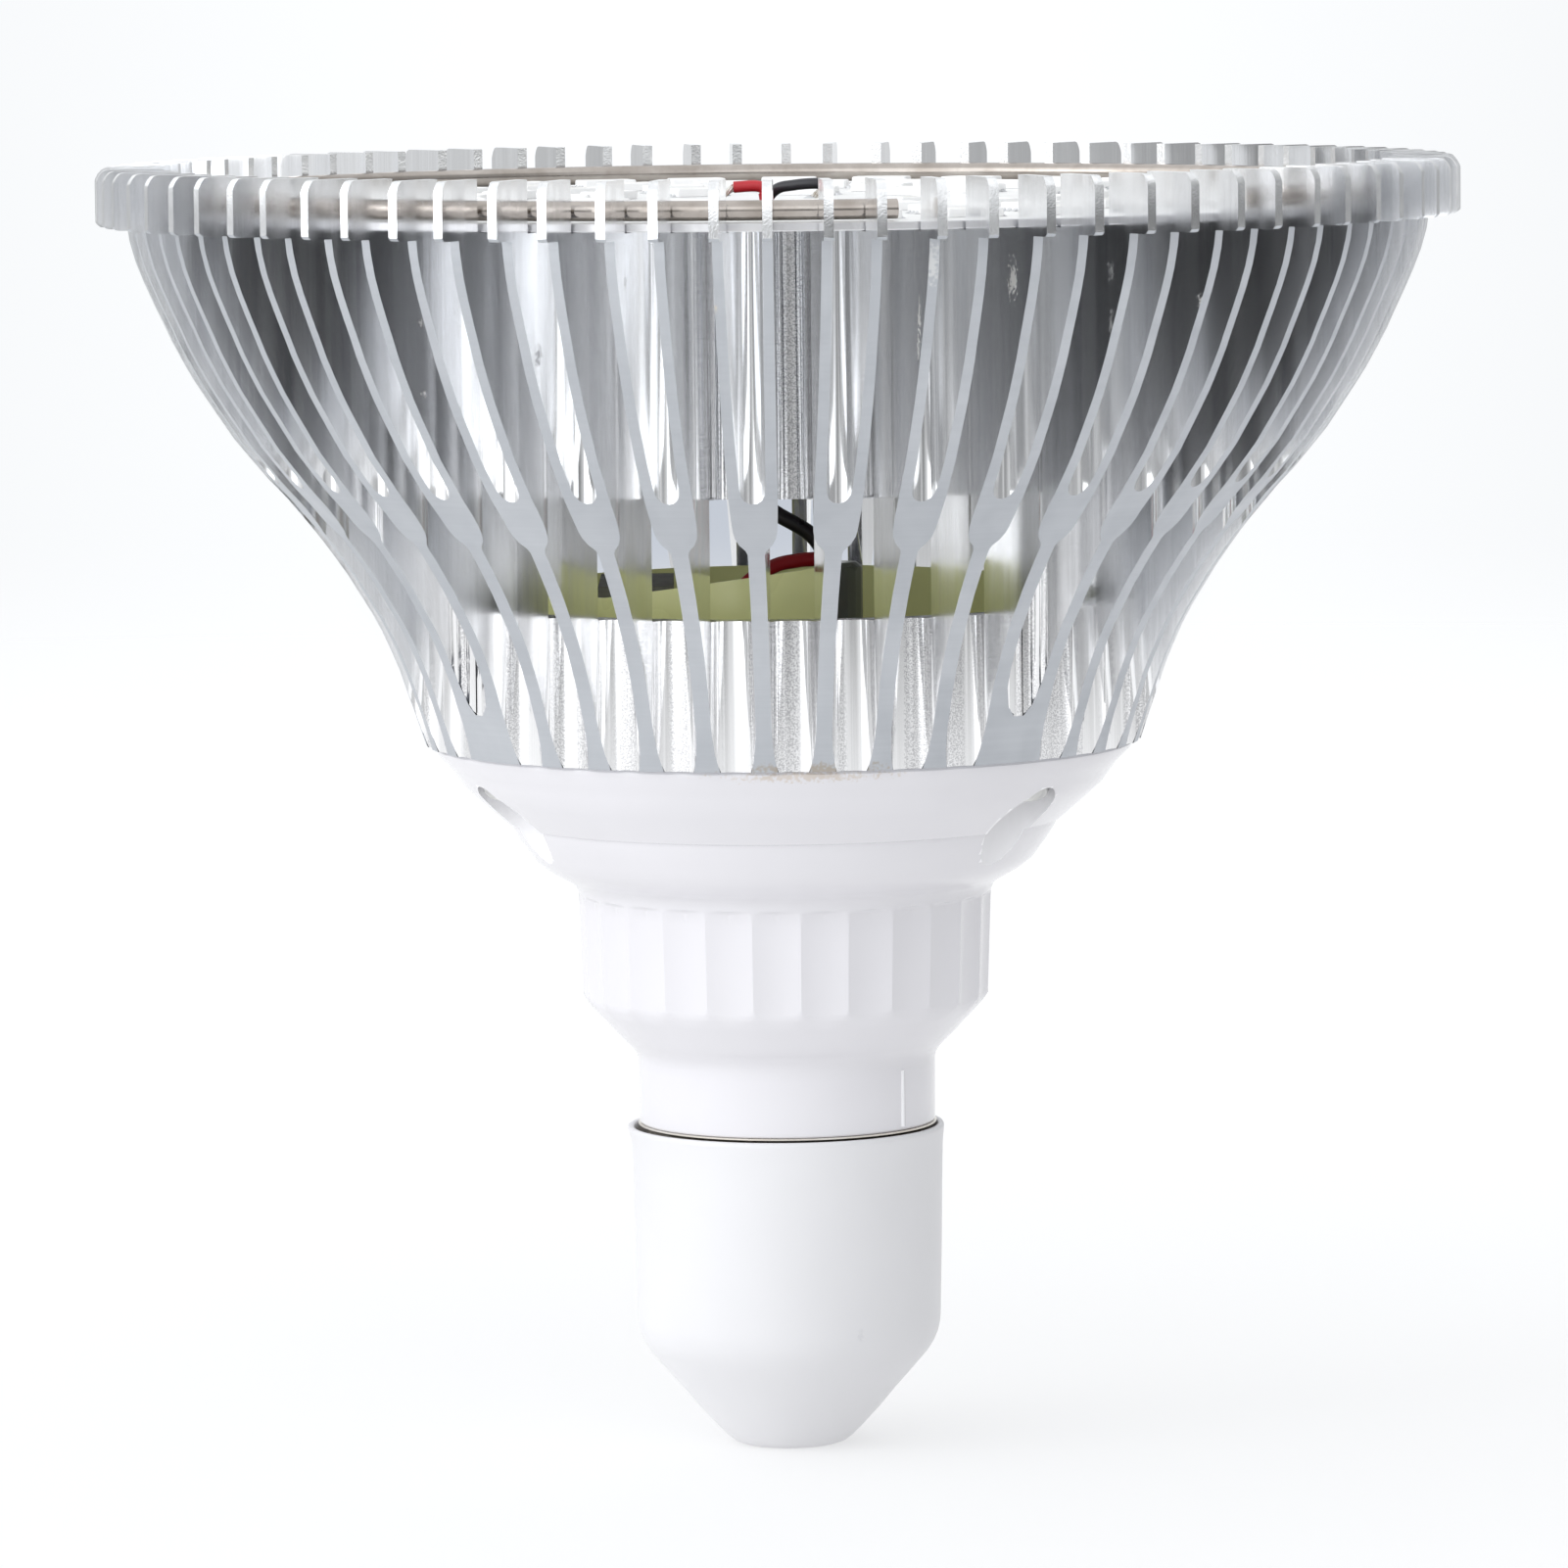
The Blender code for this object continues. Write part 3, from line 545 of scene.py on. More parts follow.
SIDE = ((31.78, 2.05), (31.88, 1.62), (32.1, 1.22), (32.5, 0.90), (33.2, 0.70), (37.5, 0.71), (42.0, 0.74), (42.3, 0.90),
        (42.7, 1.42), (43.2, 1.76), (43.7, 1.90), (44.4, 1.98), (45.2, 2.04), (46.0, 2.09), (61.2, 2.665))
RAISED_SIDE = ((33.62, 2.15), (33.75, 1.60), (34.05, 1.12), (34.6, 0.80), (35.3, 0.71), (37.5, 0.71), (42.0, 0.74),
               (42.3, 0.90), (42.7, 1.42), (43.2, 1.76), (43.7, 1.90), (44.4, 1.98), (45.2, 2.04), (46.0, 2.09),
               (61.2, 2.665))
INNER = ((46.0, 0.0), (46.06, 0.38), (46.28, 0.76), (46.62, 1.0), (47.1, 1.12), (61.2, 1.83))


def along(table, u):
    return float(np.interp(u, [p[0] for p in table], [p[1] for p in table]))


def lower(r):
    """Height of the turned underside at a radius."""
    if r >= 58.25:
        return -5.1 + 0.30 * max(0.0, (r - 60.6) / 0.45) ** 2
    if r <= 32.2:
        return BOTTOM
    return float(np.interp(r, SINK_R, SINK_Z))


def upper(r, jitter=0.0):
    """Top of a rim tab: its outer corner is rounded."""
    return -0.02 - 0.95 * max(0.0, (r - 60.05) / 0.97) ** 2.4 + jitter


def heat_sink():
    s = Soup()
    rng = np.random.RandomState(7)
    turned, floor, bored, tab = 0, 2, 3, 4
    body_rows = sorted({33.9, 34.5, 35.2, 36.0, 36.9, 38.0, 39.1, 40.3, 41.2, 42.0, 42.3, 42.7, 43.2, 43.7, 44.4, 45.2,
                        45.6})
    arm_rows = [46.06, 46.28, 46.62, 47.1, 47.9, 49.0, 50.2, 51.4, 52.5, 53.5, 54.4]
    tab_rows = [55.9, 56.8, 57.5, 58.0, 58.2]
    over_rows = [58.32, 59.3, 60.05, 60.4, 60.7, 60.9, 61.0]
    wide = {w % STEMS for w in WIDE_ROOTS}
    for k in range(STEMS):
        az = STEM_PHASE + PITCH * k
        # the marked finish is needed at the front only
        drawn = 1 if abs((az + 180.0) % 360.0 - 180.0) < 46.0 else 5
        raised = {-1: (k - 1) % STEMS in wide, 1: k % STEMS in wide}

        def P(u, v, z):
            x, y = polar(u, az, v)
            return point(x, y, z)

        def B(r, deg, z):
            x, y = polar(r, az + deg)
            return point(x, y, z)

        def wall(uv_list, top, material, split=False):
            """Vertical wall along a list of (u, v); top is a height or a function of radius."""
            for (u0, v0), (u1, v1) in zip(uv_list, uv_list[1:]):
                r0, r1 = math.hypot(u0, v0), math.hypot(u1, v1)
                t0 = top(r0) if callable(top) else top
                t1 = top(r1) if callable(top) else top
                if split and max(r0, r1) <= GROOVE + 0.002:
                    s.add([P(u0, v0, lower(r0)), P(u1, v1, lower(r1)), P(u1, v1, GROOVE_BOTTOM),
                           P(u0, v0, GROOVE_BOTTOM)], material)
                    s.add([P(u0, v0, GROOVE_TOP), P(u1, v1, GROOVE_TOP), P(u1, v1, t1), P(u0, v0, t0)], material)
                elif split and abs(r0 - GROOVE) < 0.002:
                    s.add([P(u0, v0, lower(r0)), P(u1, v1, lower(r1)), P(u1, v1, t1), P(u0, v0, t0),
                           P(u0, v0, GROOVE_TOP), P(u0, v0, GROOVE_BOTTOM)], material)
                else:
                    s.add([P(u0, v0, lower(r0)), P(u1, v1, lower(r1)), P(u1, v1, t1), P(u0, v0, t0)], material)

        # hub: bore, groove and valley floors
        arc = [-4.5 + 1.5 * i for i in range(7)]
        for a, b in zip(arc, arc[1:]):
            for z0, z1 in ((BOTTOM, GROOVE_BOTTOM), (GROOVE_TOP, LEDGE)):
                s.add([B(BORE, a, z0), B(BORE, b, z0), B(BORE, b, z1), B(BORE, a, z1)], bored)
        gu = math.sqrt(GROOVE ** 2 - 0.70 ** 2)
        ga = math.degrees(math.atan2(0.70, gu))
        groove_arc = []
        for sign in (-1, 1):
            end = 4.5 if raised[sign] else ga
            part = [sign * end] + [sign * x for x in (3.0, 1.5) if x < end - 0.3]
            if sign == 1:
                part = [0.0] + list(reversed(part))
            groove_arc += part
        for a, b in zip(groove_arc, groove_arc[1:]):
            s.add([B(GROOVE, a, GROOVE_BOTTOM), B(GROOVE, b, GROOVE_BOTTOM), B(GROOVE, b, GROOVE_TOP),
                   B(GROOVE, a, GROOVE_TOP)], bored)

        sides = {}
        for sign in (-1, 1):
            table = RAISED_SIDE if raised[sign] else SIDE
            us = [p[0] for p in table if p[0] < 33.25]
            if raised[sign]:
                us = [33.62, 33.75] + [u for u in (33.9, 34.05, 34.5, 34.6, 35.2, 35.3) + tuple(body_rows) if u > 33.8]
            else:
                us = us + [gu] + [u for u in body_rows if u > gu]
            us = sorted(set(us))
            sides[sign] = [(u, sign * along(table, u)) for u in us]
            if raised[sign]:
                root = math.degrees(math.atan2(2.15, 33.62))
                steps = [root, (root + 4.5) / 2, 4.5]
                for a, b in zip(steps, steps[1:]):
                    s.add([B(RAISED, sign * a, lower(RAISED)), B(RAISED, sign * b, lower(RAISED)),
                           B(RAISED, sign * b, LEDGE), B(RAISED, sign * a, LEDGE)], floor)
            else:
                root = math.degrees(math.atan2(2.05, 31.78))
                first = math.hypot(31.78, 2.05)
                for z0, z1 in ((BOTTOM, GROOVE_BOTTOM), (GROOVE_TOP, LEDGE)):
                    s.add([B(first, sign * root, z0), B(first, sign * 4.5, z0), B(first, sign * 4.5, z1),
                           B(first, sign * root, z1)], floor)
            # side walls of the stem and of the arm's outer side
            near = [p for p in sides[sign] if p[0] <= 33.25 or (raised[sign] and p[0] < 35.2)]
            wall(sides[sign][:len(near) + (0 if raised[sign] else 1)] if not raised[sign] else
                 [p for p in sides[sign] if p[0] <= 35.3], LEDGE, floor, split=not raised[sign])
            rest = [p for p in sides[sign] if p[0] >= (35.3 if raised[sign] else gu)] + [(46.0, sign * 2.09)]
            wall(rest, LEDGE, drawn, split=not raised[sign])
            outer = [(u, sign * along(SIDE, u)) for u in [46.0] + arm_rows + [RECESS]]
            inner = [(u, sign * along(INNER, u)) for u in [46.0] + arm_rows + [RECESS]]
            wall(outer, LEDGE, drawn)
            wall(inner, LEDGE, drawn)
            # rim tab
            tab_us = [RECESS] + tab_rows + over_rows
            lift = 0.05 * rng.rand(2)
            t_outer = [(u, sign * along(SIDE, u)) for u in tab_us]
            t_inner = [(u, sign * along(INNER, u)) for u in tab_us]
            wall(t_outer, upper, drawn)
            wall(t_inner, upper, drawn)
            for (a, b), (c, d) in zip(zip(t_outer, t_outer[1:]), zip(t_inner, t_inner[1:])):
                s.add([P(*a, upper(math.hypot(*a))), P(*b, upper(math.hypot(*b))), P(*d, upper(math.hypot(*d))),
                       P(*c, upper(math.hypot(*c)))], tab)
            s.add([P(*t_outer[0], LEDGE), P(*t_inner[0], LEDGE), P(*t_inner[0], upper(55.0)),
                   P(*t_outer[0], upper(55.0))], tab)
            a, b = t_outer[-1], t_inner[-1]
            s.add([P(*a, lower(math.hypot(*a))), P(*b, lower(math.hypot(*b))), P(*b, upper(math.hypot(*b))),
                   P(*a, upper(math.hypot(*a)))], tab)
            # turned underside of the arm
            full_outer = outer + t_outer[1:]
            full_inner = inner + t_inner[1:]
            for (a, b), (c, d) in zip(zip(full_outer, full_outer[1:]), zip(full_inner, full_inner[1:])):
                s.add([P(*a, lower(math.hypot(*a))), P(*b, lower(math.hypot(*b))), P(*d, lower(math.hypot(*d))),
                       P(*c, lower(math.hypot(*c)))], turned)

        # flat faces of the hub: top, groove ends and bottom
        def outline(limit, z):
            pts = [B(BORE, a, z) for a in arc]
            right, left = [], []
            for sign, out in ((1, right), (-1, left)):
                if raised[sign]:
                    if limit < RAISED:
                        out.append(B(limit, sign * 4.5, z))
                        continue
                    out += [B(RAISED, sign * 4.5, z), B(RAISED, sign * (math.degrees(math.atan2(2.15, 33.62)) + 4.5) / 2, z)]
                else:
                    out.append(B(math.hypot(31.78, 2.05), sign * 4.5, z))
                out += [P(u, v, z) for u, v in sides[sign] if math.hypot(u, v) <= limit + 0.002]
            return pts, right, left

        for z in (GROOVE_TOP, GROOVE_BOTTOM):
            pts, right, left = outline(GROOVE, z)
            middle = [B(GROOVE, a, z) for a in reversed(groove_arc[1:-1])]
            s.add(pts + right + middle + list(reversed(left)), bored)
        pts, right, left = outline(46.05, LEDGE)
        # the top is one flat face from the bore to the fork, then two arms
        head = [P(46.0, 2.09, LEDGE), P(46.0, 0.0, LEDGE), P(46.0, -2.09, LEDGE)]
        s.add(pts + right + head + list(reversed(left)), bored)
        for sign in (-1, 1):
            outer = [(u, sign * along(SIDE, u)) for u in [46.0] + arm_rows + [RECESS]]
            inner = [(u, sign * along(INNER, u)) for u in [46.0] + arm_rows + [RECESS]]
            for (a, b), (c, d) in zip(zip(outer, outer[1:]), zip(inner, inner[1:])):
                s.add([P(*a, LEDGE), P(*b, LEDGE), P(*d, LEDGE), P(*c, LEDGE)], turned)

        # bottom: flat out to 32.2, then the turned underside of the stem
        def edge(sign, r):
            """Point of the outline at a radius, on one side."""
            if raised[sign] and r <= RAISED:
                return ("B", r, sign * 4.5)
            table = RAISED_SIDE if raised[sign] else SIDE
            u = r
            for _ in range(12):
                u = math.sqrt(max(r * r - along(table, u) ** 2, 0.0))
            return ("P", u, sign * along(table, u))

        def place(item, r):
            kind, a, b = item
            return B(a, b, lower(a)) if kind == "B" else P(a, b, lower(math.hypot(a, b)))

        pts = [B(BORE, a, BOTTOM) for a in arc]
        loops = {}
        for sign in (1, -1):
            e = edge(sign, 32.2)
            if raised[sign]:
                loops[sign] = [B(32.2, sign * 4.5, BOTTOM)]
            else:
                loops[sign] = [B(math.hypot(31.78, 2.05), sign * 4.5, BOTTOM)] + [
                    P(u, v, BOTTOM) for u, v in sides[sign] if math.hypot(u, v) < 32.19] + [P(e[1], e[2], BOTTOM)]
        s.add(pts + loops[1] + list(reversed(loops[-1])), turned)
        stations = {}
        for sign in (-1, 1):
            rs = [32.2, 32.7]
            if raised[sign]:
                rs += [33.3, RAISED]
            stations[sign] = rs
        radii = [32.2, 32.7, 33.3, RAISED]
        for r0, r1 in zip(radii, radii[1:]):
            l0, r_0 = edge(-1, r0), edge(1, r0)
            l1, r_1 = edge(-1, r1), edge(1, r1)
            extra0 = [] if not (raised[-1] or raised[1]) else [("B", r0, 0.0)]
            extra1 = [] if not (raised[-1] or raised[1]) else [("B", r1, 0.0)]
            if extra0:
                s.add([place(l0, r0), place(extra0[0], r0), place(extra1[0], r1), place(l1, r1)], turned)
                s.add([place(extra0[0], r0), place(r_0, r0), place(r_1, r1), place(extra1[0], r1)], turned)
            else:
                s.add([place(l0, r0), place(r_0, r0), place(r_1, r1), place(l1, r1)], turned)
        rows = []
        shared = [33.9, 34.5, 35.2] + [u for u in body_rows if u > 35.3]
        left_table = RAISED_SIDE if raised[-1] else SIDE
        right_table = RAISED_SIDE if raised[1] else SIDE
        first = []
        if raised[-1]:
            first.append(P(33.62, -2.15, lower(RAISED)))
        else:
            e = edge(-1, RAISED)
            first.append(P(e[1], e[2], lower(RAISED)))
        if raised[1]:
            last = P(33.62, 2.15, lower(RAISED))
        else:
            e = edge(1, RAISED)
            last = P(e[1], e[2], lower(RAISED))
        rows.append((first[0], last))
        for u in shared + [46.0]:
            vl, vr = -along(left_table, u), along(right_table, u)
            rows.append((P(u, vl, lower(math.hypot(u, vl))), P(u, vr, lower(math.hypot(u, vr)))))
        for a, b in zip(rows[:-2], rows[1:-1]):
            s.add([a[0], a[1], b[1], b[0]], turned)
        a, b = rows[-2], rows[-1]
        s.add([a[0], a[1], b[1], P(46.0, 0.0, lower(46.0)), b[0]], turned)
    obj = s.make("heat_sink_fine", [TURNED, DRAWN, FLOOR, BORED, TAB, SMOOTH], weld=2e-7, sharp=24.0)
    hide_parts("heat_sink")
    return obj


heat_sink()


# ---- retaining ring -------------------------------------------------------------------------------------------------
def retaining_ring():
    s = Soup()
    pts = []
    steps = 210
    for i in range(steps + 1):
        x, y = polar(53.8, 10.7 - 328.7 * i / steps)
        pts.append((x, y, -2.71))
    add_tube(s, pts, 0.86, 16, dome=False)
    obj = s.make("retaining_ring_wire", [SPRING], sharp=40)
    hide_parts("retaining_ring")
    return obj


# ---- LED board ------------------------------------------------------------------------------------------------------
LED_RINGS = ((47.8, 34, 178.7), (38.0, 26, 174.0), (28.2, 18, 180.0), (18.4, 11, 171.0))
LED_HALF = (1.5, 2.6)
LED_TOP = -2.95


def led_places():
    for ring, (radius, count, phase) in enumerate(LED_RINGS):
        for i in range(count):
            yield ring, i, radius, phase + 360.0 * i / count


def led_board():
    top, bottom = BOARD_TOP, BOARD_BOTTOM
    profile = [(5.0, bottom + 0.1), (5.1, bottom), (54.5, bottom), (54.6, bottom + 0.1), (54.6, top - 0.08),
               (54.52, top), (5.08, top), (5.0, top - 0.08)]
    s = Soup()
    rows = turned_rows(profile, 180)
    # white mask on top of an aluminium core
    s.grid(rows + [rows[0]], [1, 1, 1, 1, 1, 0, 0, 0], closed=True)
    board = s.make("led_board_disc", [MASK, CORE], weld=1e-7, sharp=30)
    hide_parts("led_board")

    p = Soup()
    for ring, i, radius, az in led_places():
        def Q(u, v, z):
            x, y = polar(radius + u, az, v)
            return point(x, y, z)

        lu, lv = LED_HALF
        z0, z1 = BOARD_TOP + 0.02, LED_TOP
        c = 0.14
        # body: rounded outline, raised edge, sunk window
        def loop(du, dv, cut, z):
            a, b = lu - du, lv - dv
            return [Q(u, v, z) for u, v in ((-a + cut, -b), (a - cut, -b), (a, -b + cut), (a, b - cut),
                                            (a - cut, b), (-a + cut, b), (-a, b - cut), (-a, -b + cut))]
        rows = [loop(0.06, 0.06, 0.14, z0), loop(0.0, 0.0, 0.18, z0 + 0.25), loop(0.02, 0.02, 0.18, z1 - 0.08),
                loop(0.09, 0.09, 0.20, z1), loop(0.36, 0.50, 0.30, z1), loop(0.46, 0.62, 0.30, z1 - 0.16)]
        p.grid(rows, 0, closed=True)
        lens = 2 if (i * 3 + ring) % 8 == 3 else 1
        p.add(loop(0.46, 0.62, 0.30, z1 - 0.16), lens)
        # solder fillets at the two short ends, on their pads
        for end in (-1, 1):
            for shift in (-0.85, 0.0, 0.85):
                w = 0.26
                a0, a1 = end * (lv - 0.02), end * (lv + 0.36)
                foot = [Q(shift - w, a0, BOARD_TOP + 0.012), Q(shift + w, a0, BOARD_TOP + 0.012),
                        Q(shift + w, a1, BOARD_TOP + 0.012), Q(shift - w, a1, BOARD_TOP + 0.012)]
                high = [Q(shift - w * 0.8, a0, BOARD_TOP + 0.30), Q(shift + w * 0.8, a0, BOARD_TOP + 0.30),
                        Q(shift + w * 0.8, end * (lv + 0.10), BOARD_TOP + 0.16),
                        Q(shift - w * 0.8, end * (lv + 0.10), BOARD_TOP + 0.16)]
                p.grid([foot, high], 3, closed=True, ends=(True, True))
    leds = p.make("led_packages", [PACKAGE, PHOSPHOR, CLEAR_DIE, SOLDER], sharp=30)

    # solder pads of the two leads near the middle
    q = Soup()
    for cx, cy, r in ((-6.2, -2.2, 1.2), (3.0, -6.6, 1.2)):
        rows = []
        for f, h in ((1.0, 0.015), (0.97, 0.05), (0.6, 0.09), (0.25, 0.16)):
            rows.append([point(cx + r * f * math.cos(a), cy + r * f * 1.2 * math.sin(a), BOARD_TOP + h)
                         for a in [2 * math.pi * k / 20 for k in range(20)]])
        q.grid(rows, 0, closed=True, ends=(True, True))
    pads = q.make("lead_pads", [SOLDER], sharp=40)


# ---- leads ----------------------------------------------------------------------------------------------------------
RED_ROUTE = [(-7.0, -9.8, -54.1), (-7.0, -9.8, -48.0), (-6.0, -10.0, -41.0), (-3.2, -9.0, -37.4), (-0.6, -7.6, -35.9),
             (1.6, -6.6, -35.5), (3.6, -5.8, -35.2), (4.9, -5.0, -33.0), (4.6, -4.4, -28.0), (2.6, -3.2, -18.0),
             (-0.9, -1.9, -9.0), (-0.95, -0.4, -5.2), (-1.02, -0.2, -3.5), (-1.25, -0.2, -2.6), (-2.0, -0.2, -2.3), (-3.95, -0.2, -2.4)]
BLACK_ROUTE = [(4.0, -2.0, -54.1), (4.0, -2.0, -47.0), (4.0, -2.0, -41.0), (4.1, -1.9, -36.4), (2.7, -1.8, -33.6),
               (-0.6, -1.8, -31.5), (-2.1, -1.6, -29.9), (-2.3, -0.8, -25.0), (-1.7, 1.2, -12.0), (-1.2, 1.6, -5.6),
               (-0.9, 1.6, -3.6), (0.0, 1.2, -2.6), (1.4, 0.7, -2.3), (3.0, 0.3, -2.15), (4.6, 0.2, -2.2)]
LIVE_ROUTE = [(0.0, 0.0, -110.8), (0.0, 0.0, -104.0), (0.6, -0.6, -96.0), (1.5, -1.0, -86.0), (2.4, -2.0, -74.0),
              (4.2, -3.0, -64.0), (5.0, -3.0, -59.0), (5.0, -3.0, -56.3)]
NEUTRAL_ROUTE = [(10.5, 0.0, -101.6), (9.2, 0.2, -100.6), (8.2, 0.6, -97.0), (7.0, 1.2, -90.0), (4.0, 2.6, -80.0),
                 (-1.0, 3.4, -72.0), (-4.4, 3.2, -64.0), (-5.0, 3.0, -56.3)]


def strands(soup, start, direction, length, end, count=7, spread=0.28, radius=0.11, seed=3, material=1):
    """Twisted bare strands from a cut end of the insulation to a solder joint."""
    rng = np.random.RandomState(seed)
    a, b = Vector(start), Vector(end)
    d = Vector(direction).normalized()
    side = d.cross(Vector((0, 0, 1))).normalized()
    up = side.cross(d)
    for k in range(count):
        turn = 2 * math.pi * k / max(count - 1, 1)
        ring = 0.0 if k == 0 else 0.24
        pts = []
        wobble = rng.rand(2) * 0.5 - 0.25
        for i in range(9):
            t = i / 8
            base = a + d * (length * t * (1 - t) * 0.9)
            base = base.lerp(b, t * t * (3 - 2 * t))
            twist = turn + t * 3.4
            fan = ring * (1 + 0.9 * t * spread * (k % 3))
            pts.append(tuple(base + side * (math.cos(twist) * fan + wobble[0] * t * 0.3)
                             + up * (math.sin(twist) * fan * (1 - 0.45 * t))))
        add_tube(soup, pts, radius, 7, material, dome=False)


def leads():
    fine = 6
    for name, node, route, radius, mat, slot in (
            ("red_lead", "red_wire", RED_ROUTE, lambda t: 0.52 if t > 0.85 else 0.65, RED, "red_insulation"),
            ("black_lead", "black_wire", BLACK_ROUTE, lambda t: 0.50 if t > 0.66 else 0.70, BLACK, "black_insulation"),
            ("live_lead", "live_wire", LIVE_ROUTE, 0.7, BROWN, "brown_insulation"),
            ("neutral_lead", "neutral_wire", NEUTRAL_ROUTE, 0.7, BLUE, "blue_insulation")):
        s = Soup()
        add_tube(s, smooth_path(route, fine), radius, 16, 0, dome=False)
        obj = s.make(name, [mat], sharp=50)
        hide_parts(node)
    s = Soup()
    strands(s, (-3.85, -0.2, -2.4), (-1, -0.3, -0.2), 1.2, (-5.3, -1.9, -3.45), seed=3, material=0)
    strands(s, (4.5, 0.2, -2.2), (0.5, -1.0, -0.1), 1.8, (2.8, -5.5, -3.45), seed=5, material=0)
    # joints: low domes of solder over the strand ends
    for cx, cy, rx, ry, h, base in ((-5.7, -2.0, 0.8, 0.8, 0.6, -3.64), (2.8, -6.0, 0.8, 0.8, 0.6, -3.64)):
        rows = []
        for f, t in ((1.0, 0.0), (0.93, 0.16), (0.8, 0.42), (0.58, 0.72), (0.3, 0.93), (0.08, 1.0)):
            rows.append([point(cx + rx * f * math.cos(a), cy + ry * f * math.sin(a), base + h * t)
                         for a in [2 * math.pi * k / 22 for k in range(22)]])
        s.grid(rows, 1, closed=True, ends=(True, True))
    obj = s.make("lead_ends", [TINNED, SOLDER], sharp=45)


# ---- insulating film ------------------------------------------------------------------------------------------------
def film_sheet():
    s = Soup()
    outer, inner, low = 22.6, 22.3, -51.8
    start, sweep, steps = 10.5, 300.0, 200
    rows = []
    for i in range(steps + 1):
        az = start - sweep * i / steps
        travelled = start - az
        top = -34.9 - 3.1 * travelled / 55.0 if travelled < 55.0 else -38.0
        ripple = 0.10 * math.sin(travelled * 0.21) * math.sin(travelled * 0.057 + 1.0)
        row = []
        for r, z in ((outer, low), (outer, -46.0), (outer, -42.0), (outer, top), (inner, top), (inner, -42.0),
                     (inner, -46.0), (inner, low)):
            lean = ripple * max(0.0, (z - low) / (top - low))
            x, y = polar(r - 0.12 + min(0.1, max(-0.1, lean)), az)
            row.append(point(x, y, z))
        rows.append(row)
    s.grid(rows, 0, closed=True, ends=(True, True))
    obj = s.make("driver_film", [FILM_PAINTED_GLOW], sharp=40)
    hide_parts("insulating_film")


# ---- housing --------------------------------------------------------------------------------------------------------
HOUSING_OUT = (
    (31.40, -52.16), (31.48, -52.4), (31.35, -52.75), (30.0, -54.1), (28.7, -55.9), (26.8, -57.6), (25.7, -58.55),
    (25.0, -59.16), (24.68, -59.22), (24.60, -59.45), (24.2, -60.2), (23.6, -61.1), (22.4, -62.7), (21.4, -63.5),
    (20.3, -64.15), (19.4, -64.65), (18.9, -65.05), (18.66, -65.6))
CONE = ((18.3, -75.0), (18.2, -75.2), (17.8, -75.75), (17.0, -76.65), (16.2, -77.45), (15.5, -78.25), (14.6, -79.15),
        (13.9, -79.85), (13.55, -80.4), (13.42, -80.9), (13.38, -86.48), (13.3, -86.62), (11.25, -86.62),
        (11.2, -86.8), (11.2, -99.8), (11.0, -100.0))
CAVITY = ((10.0, -100.0), (10.0, -86.2), (11.7, -81.0), (16.3, -75.0), (16.6, -67.0), (20.4, -62.7), (24.3, -58.0),
          (27.4, -54.2), (27.4, -52.16))
FLUTES, FLUTE_PHASE = 27, 4.1


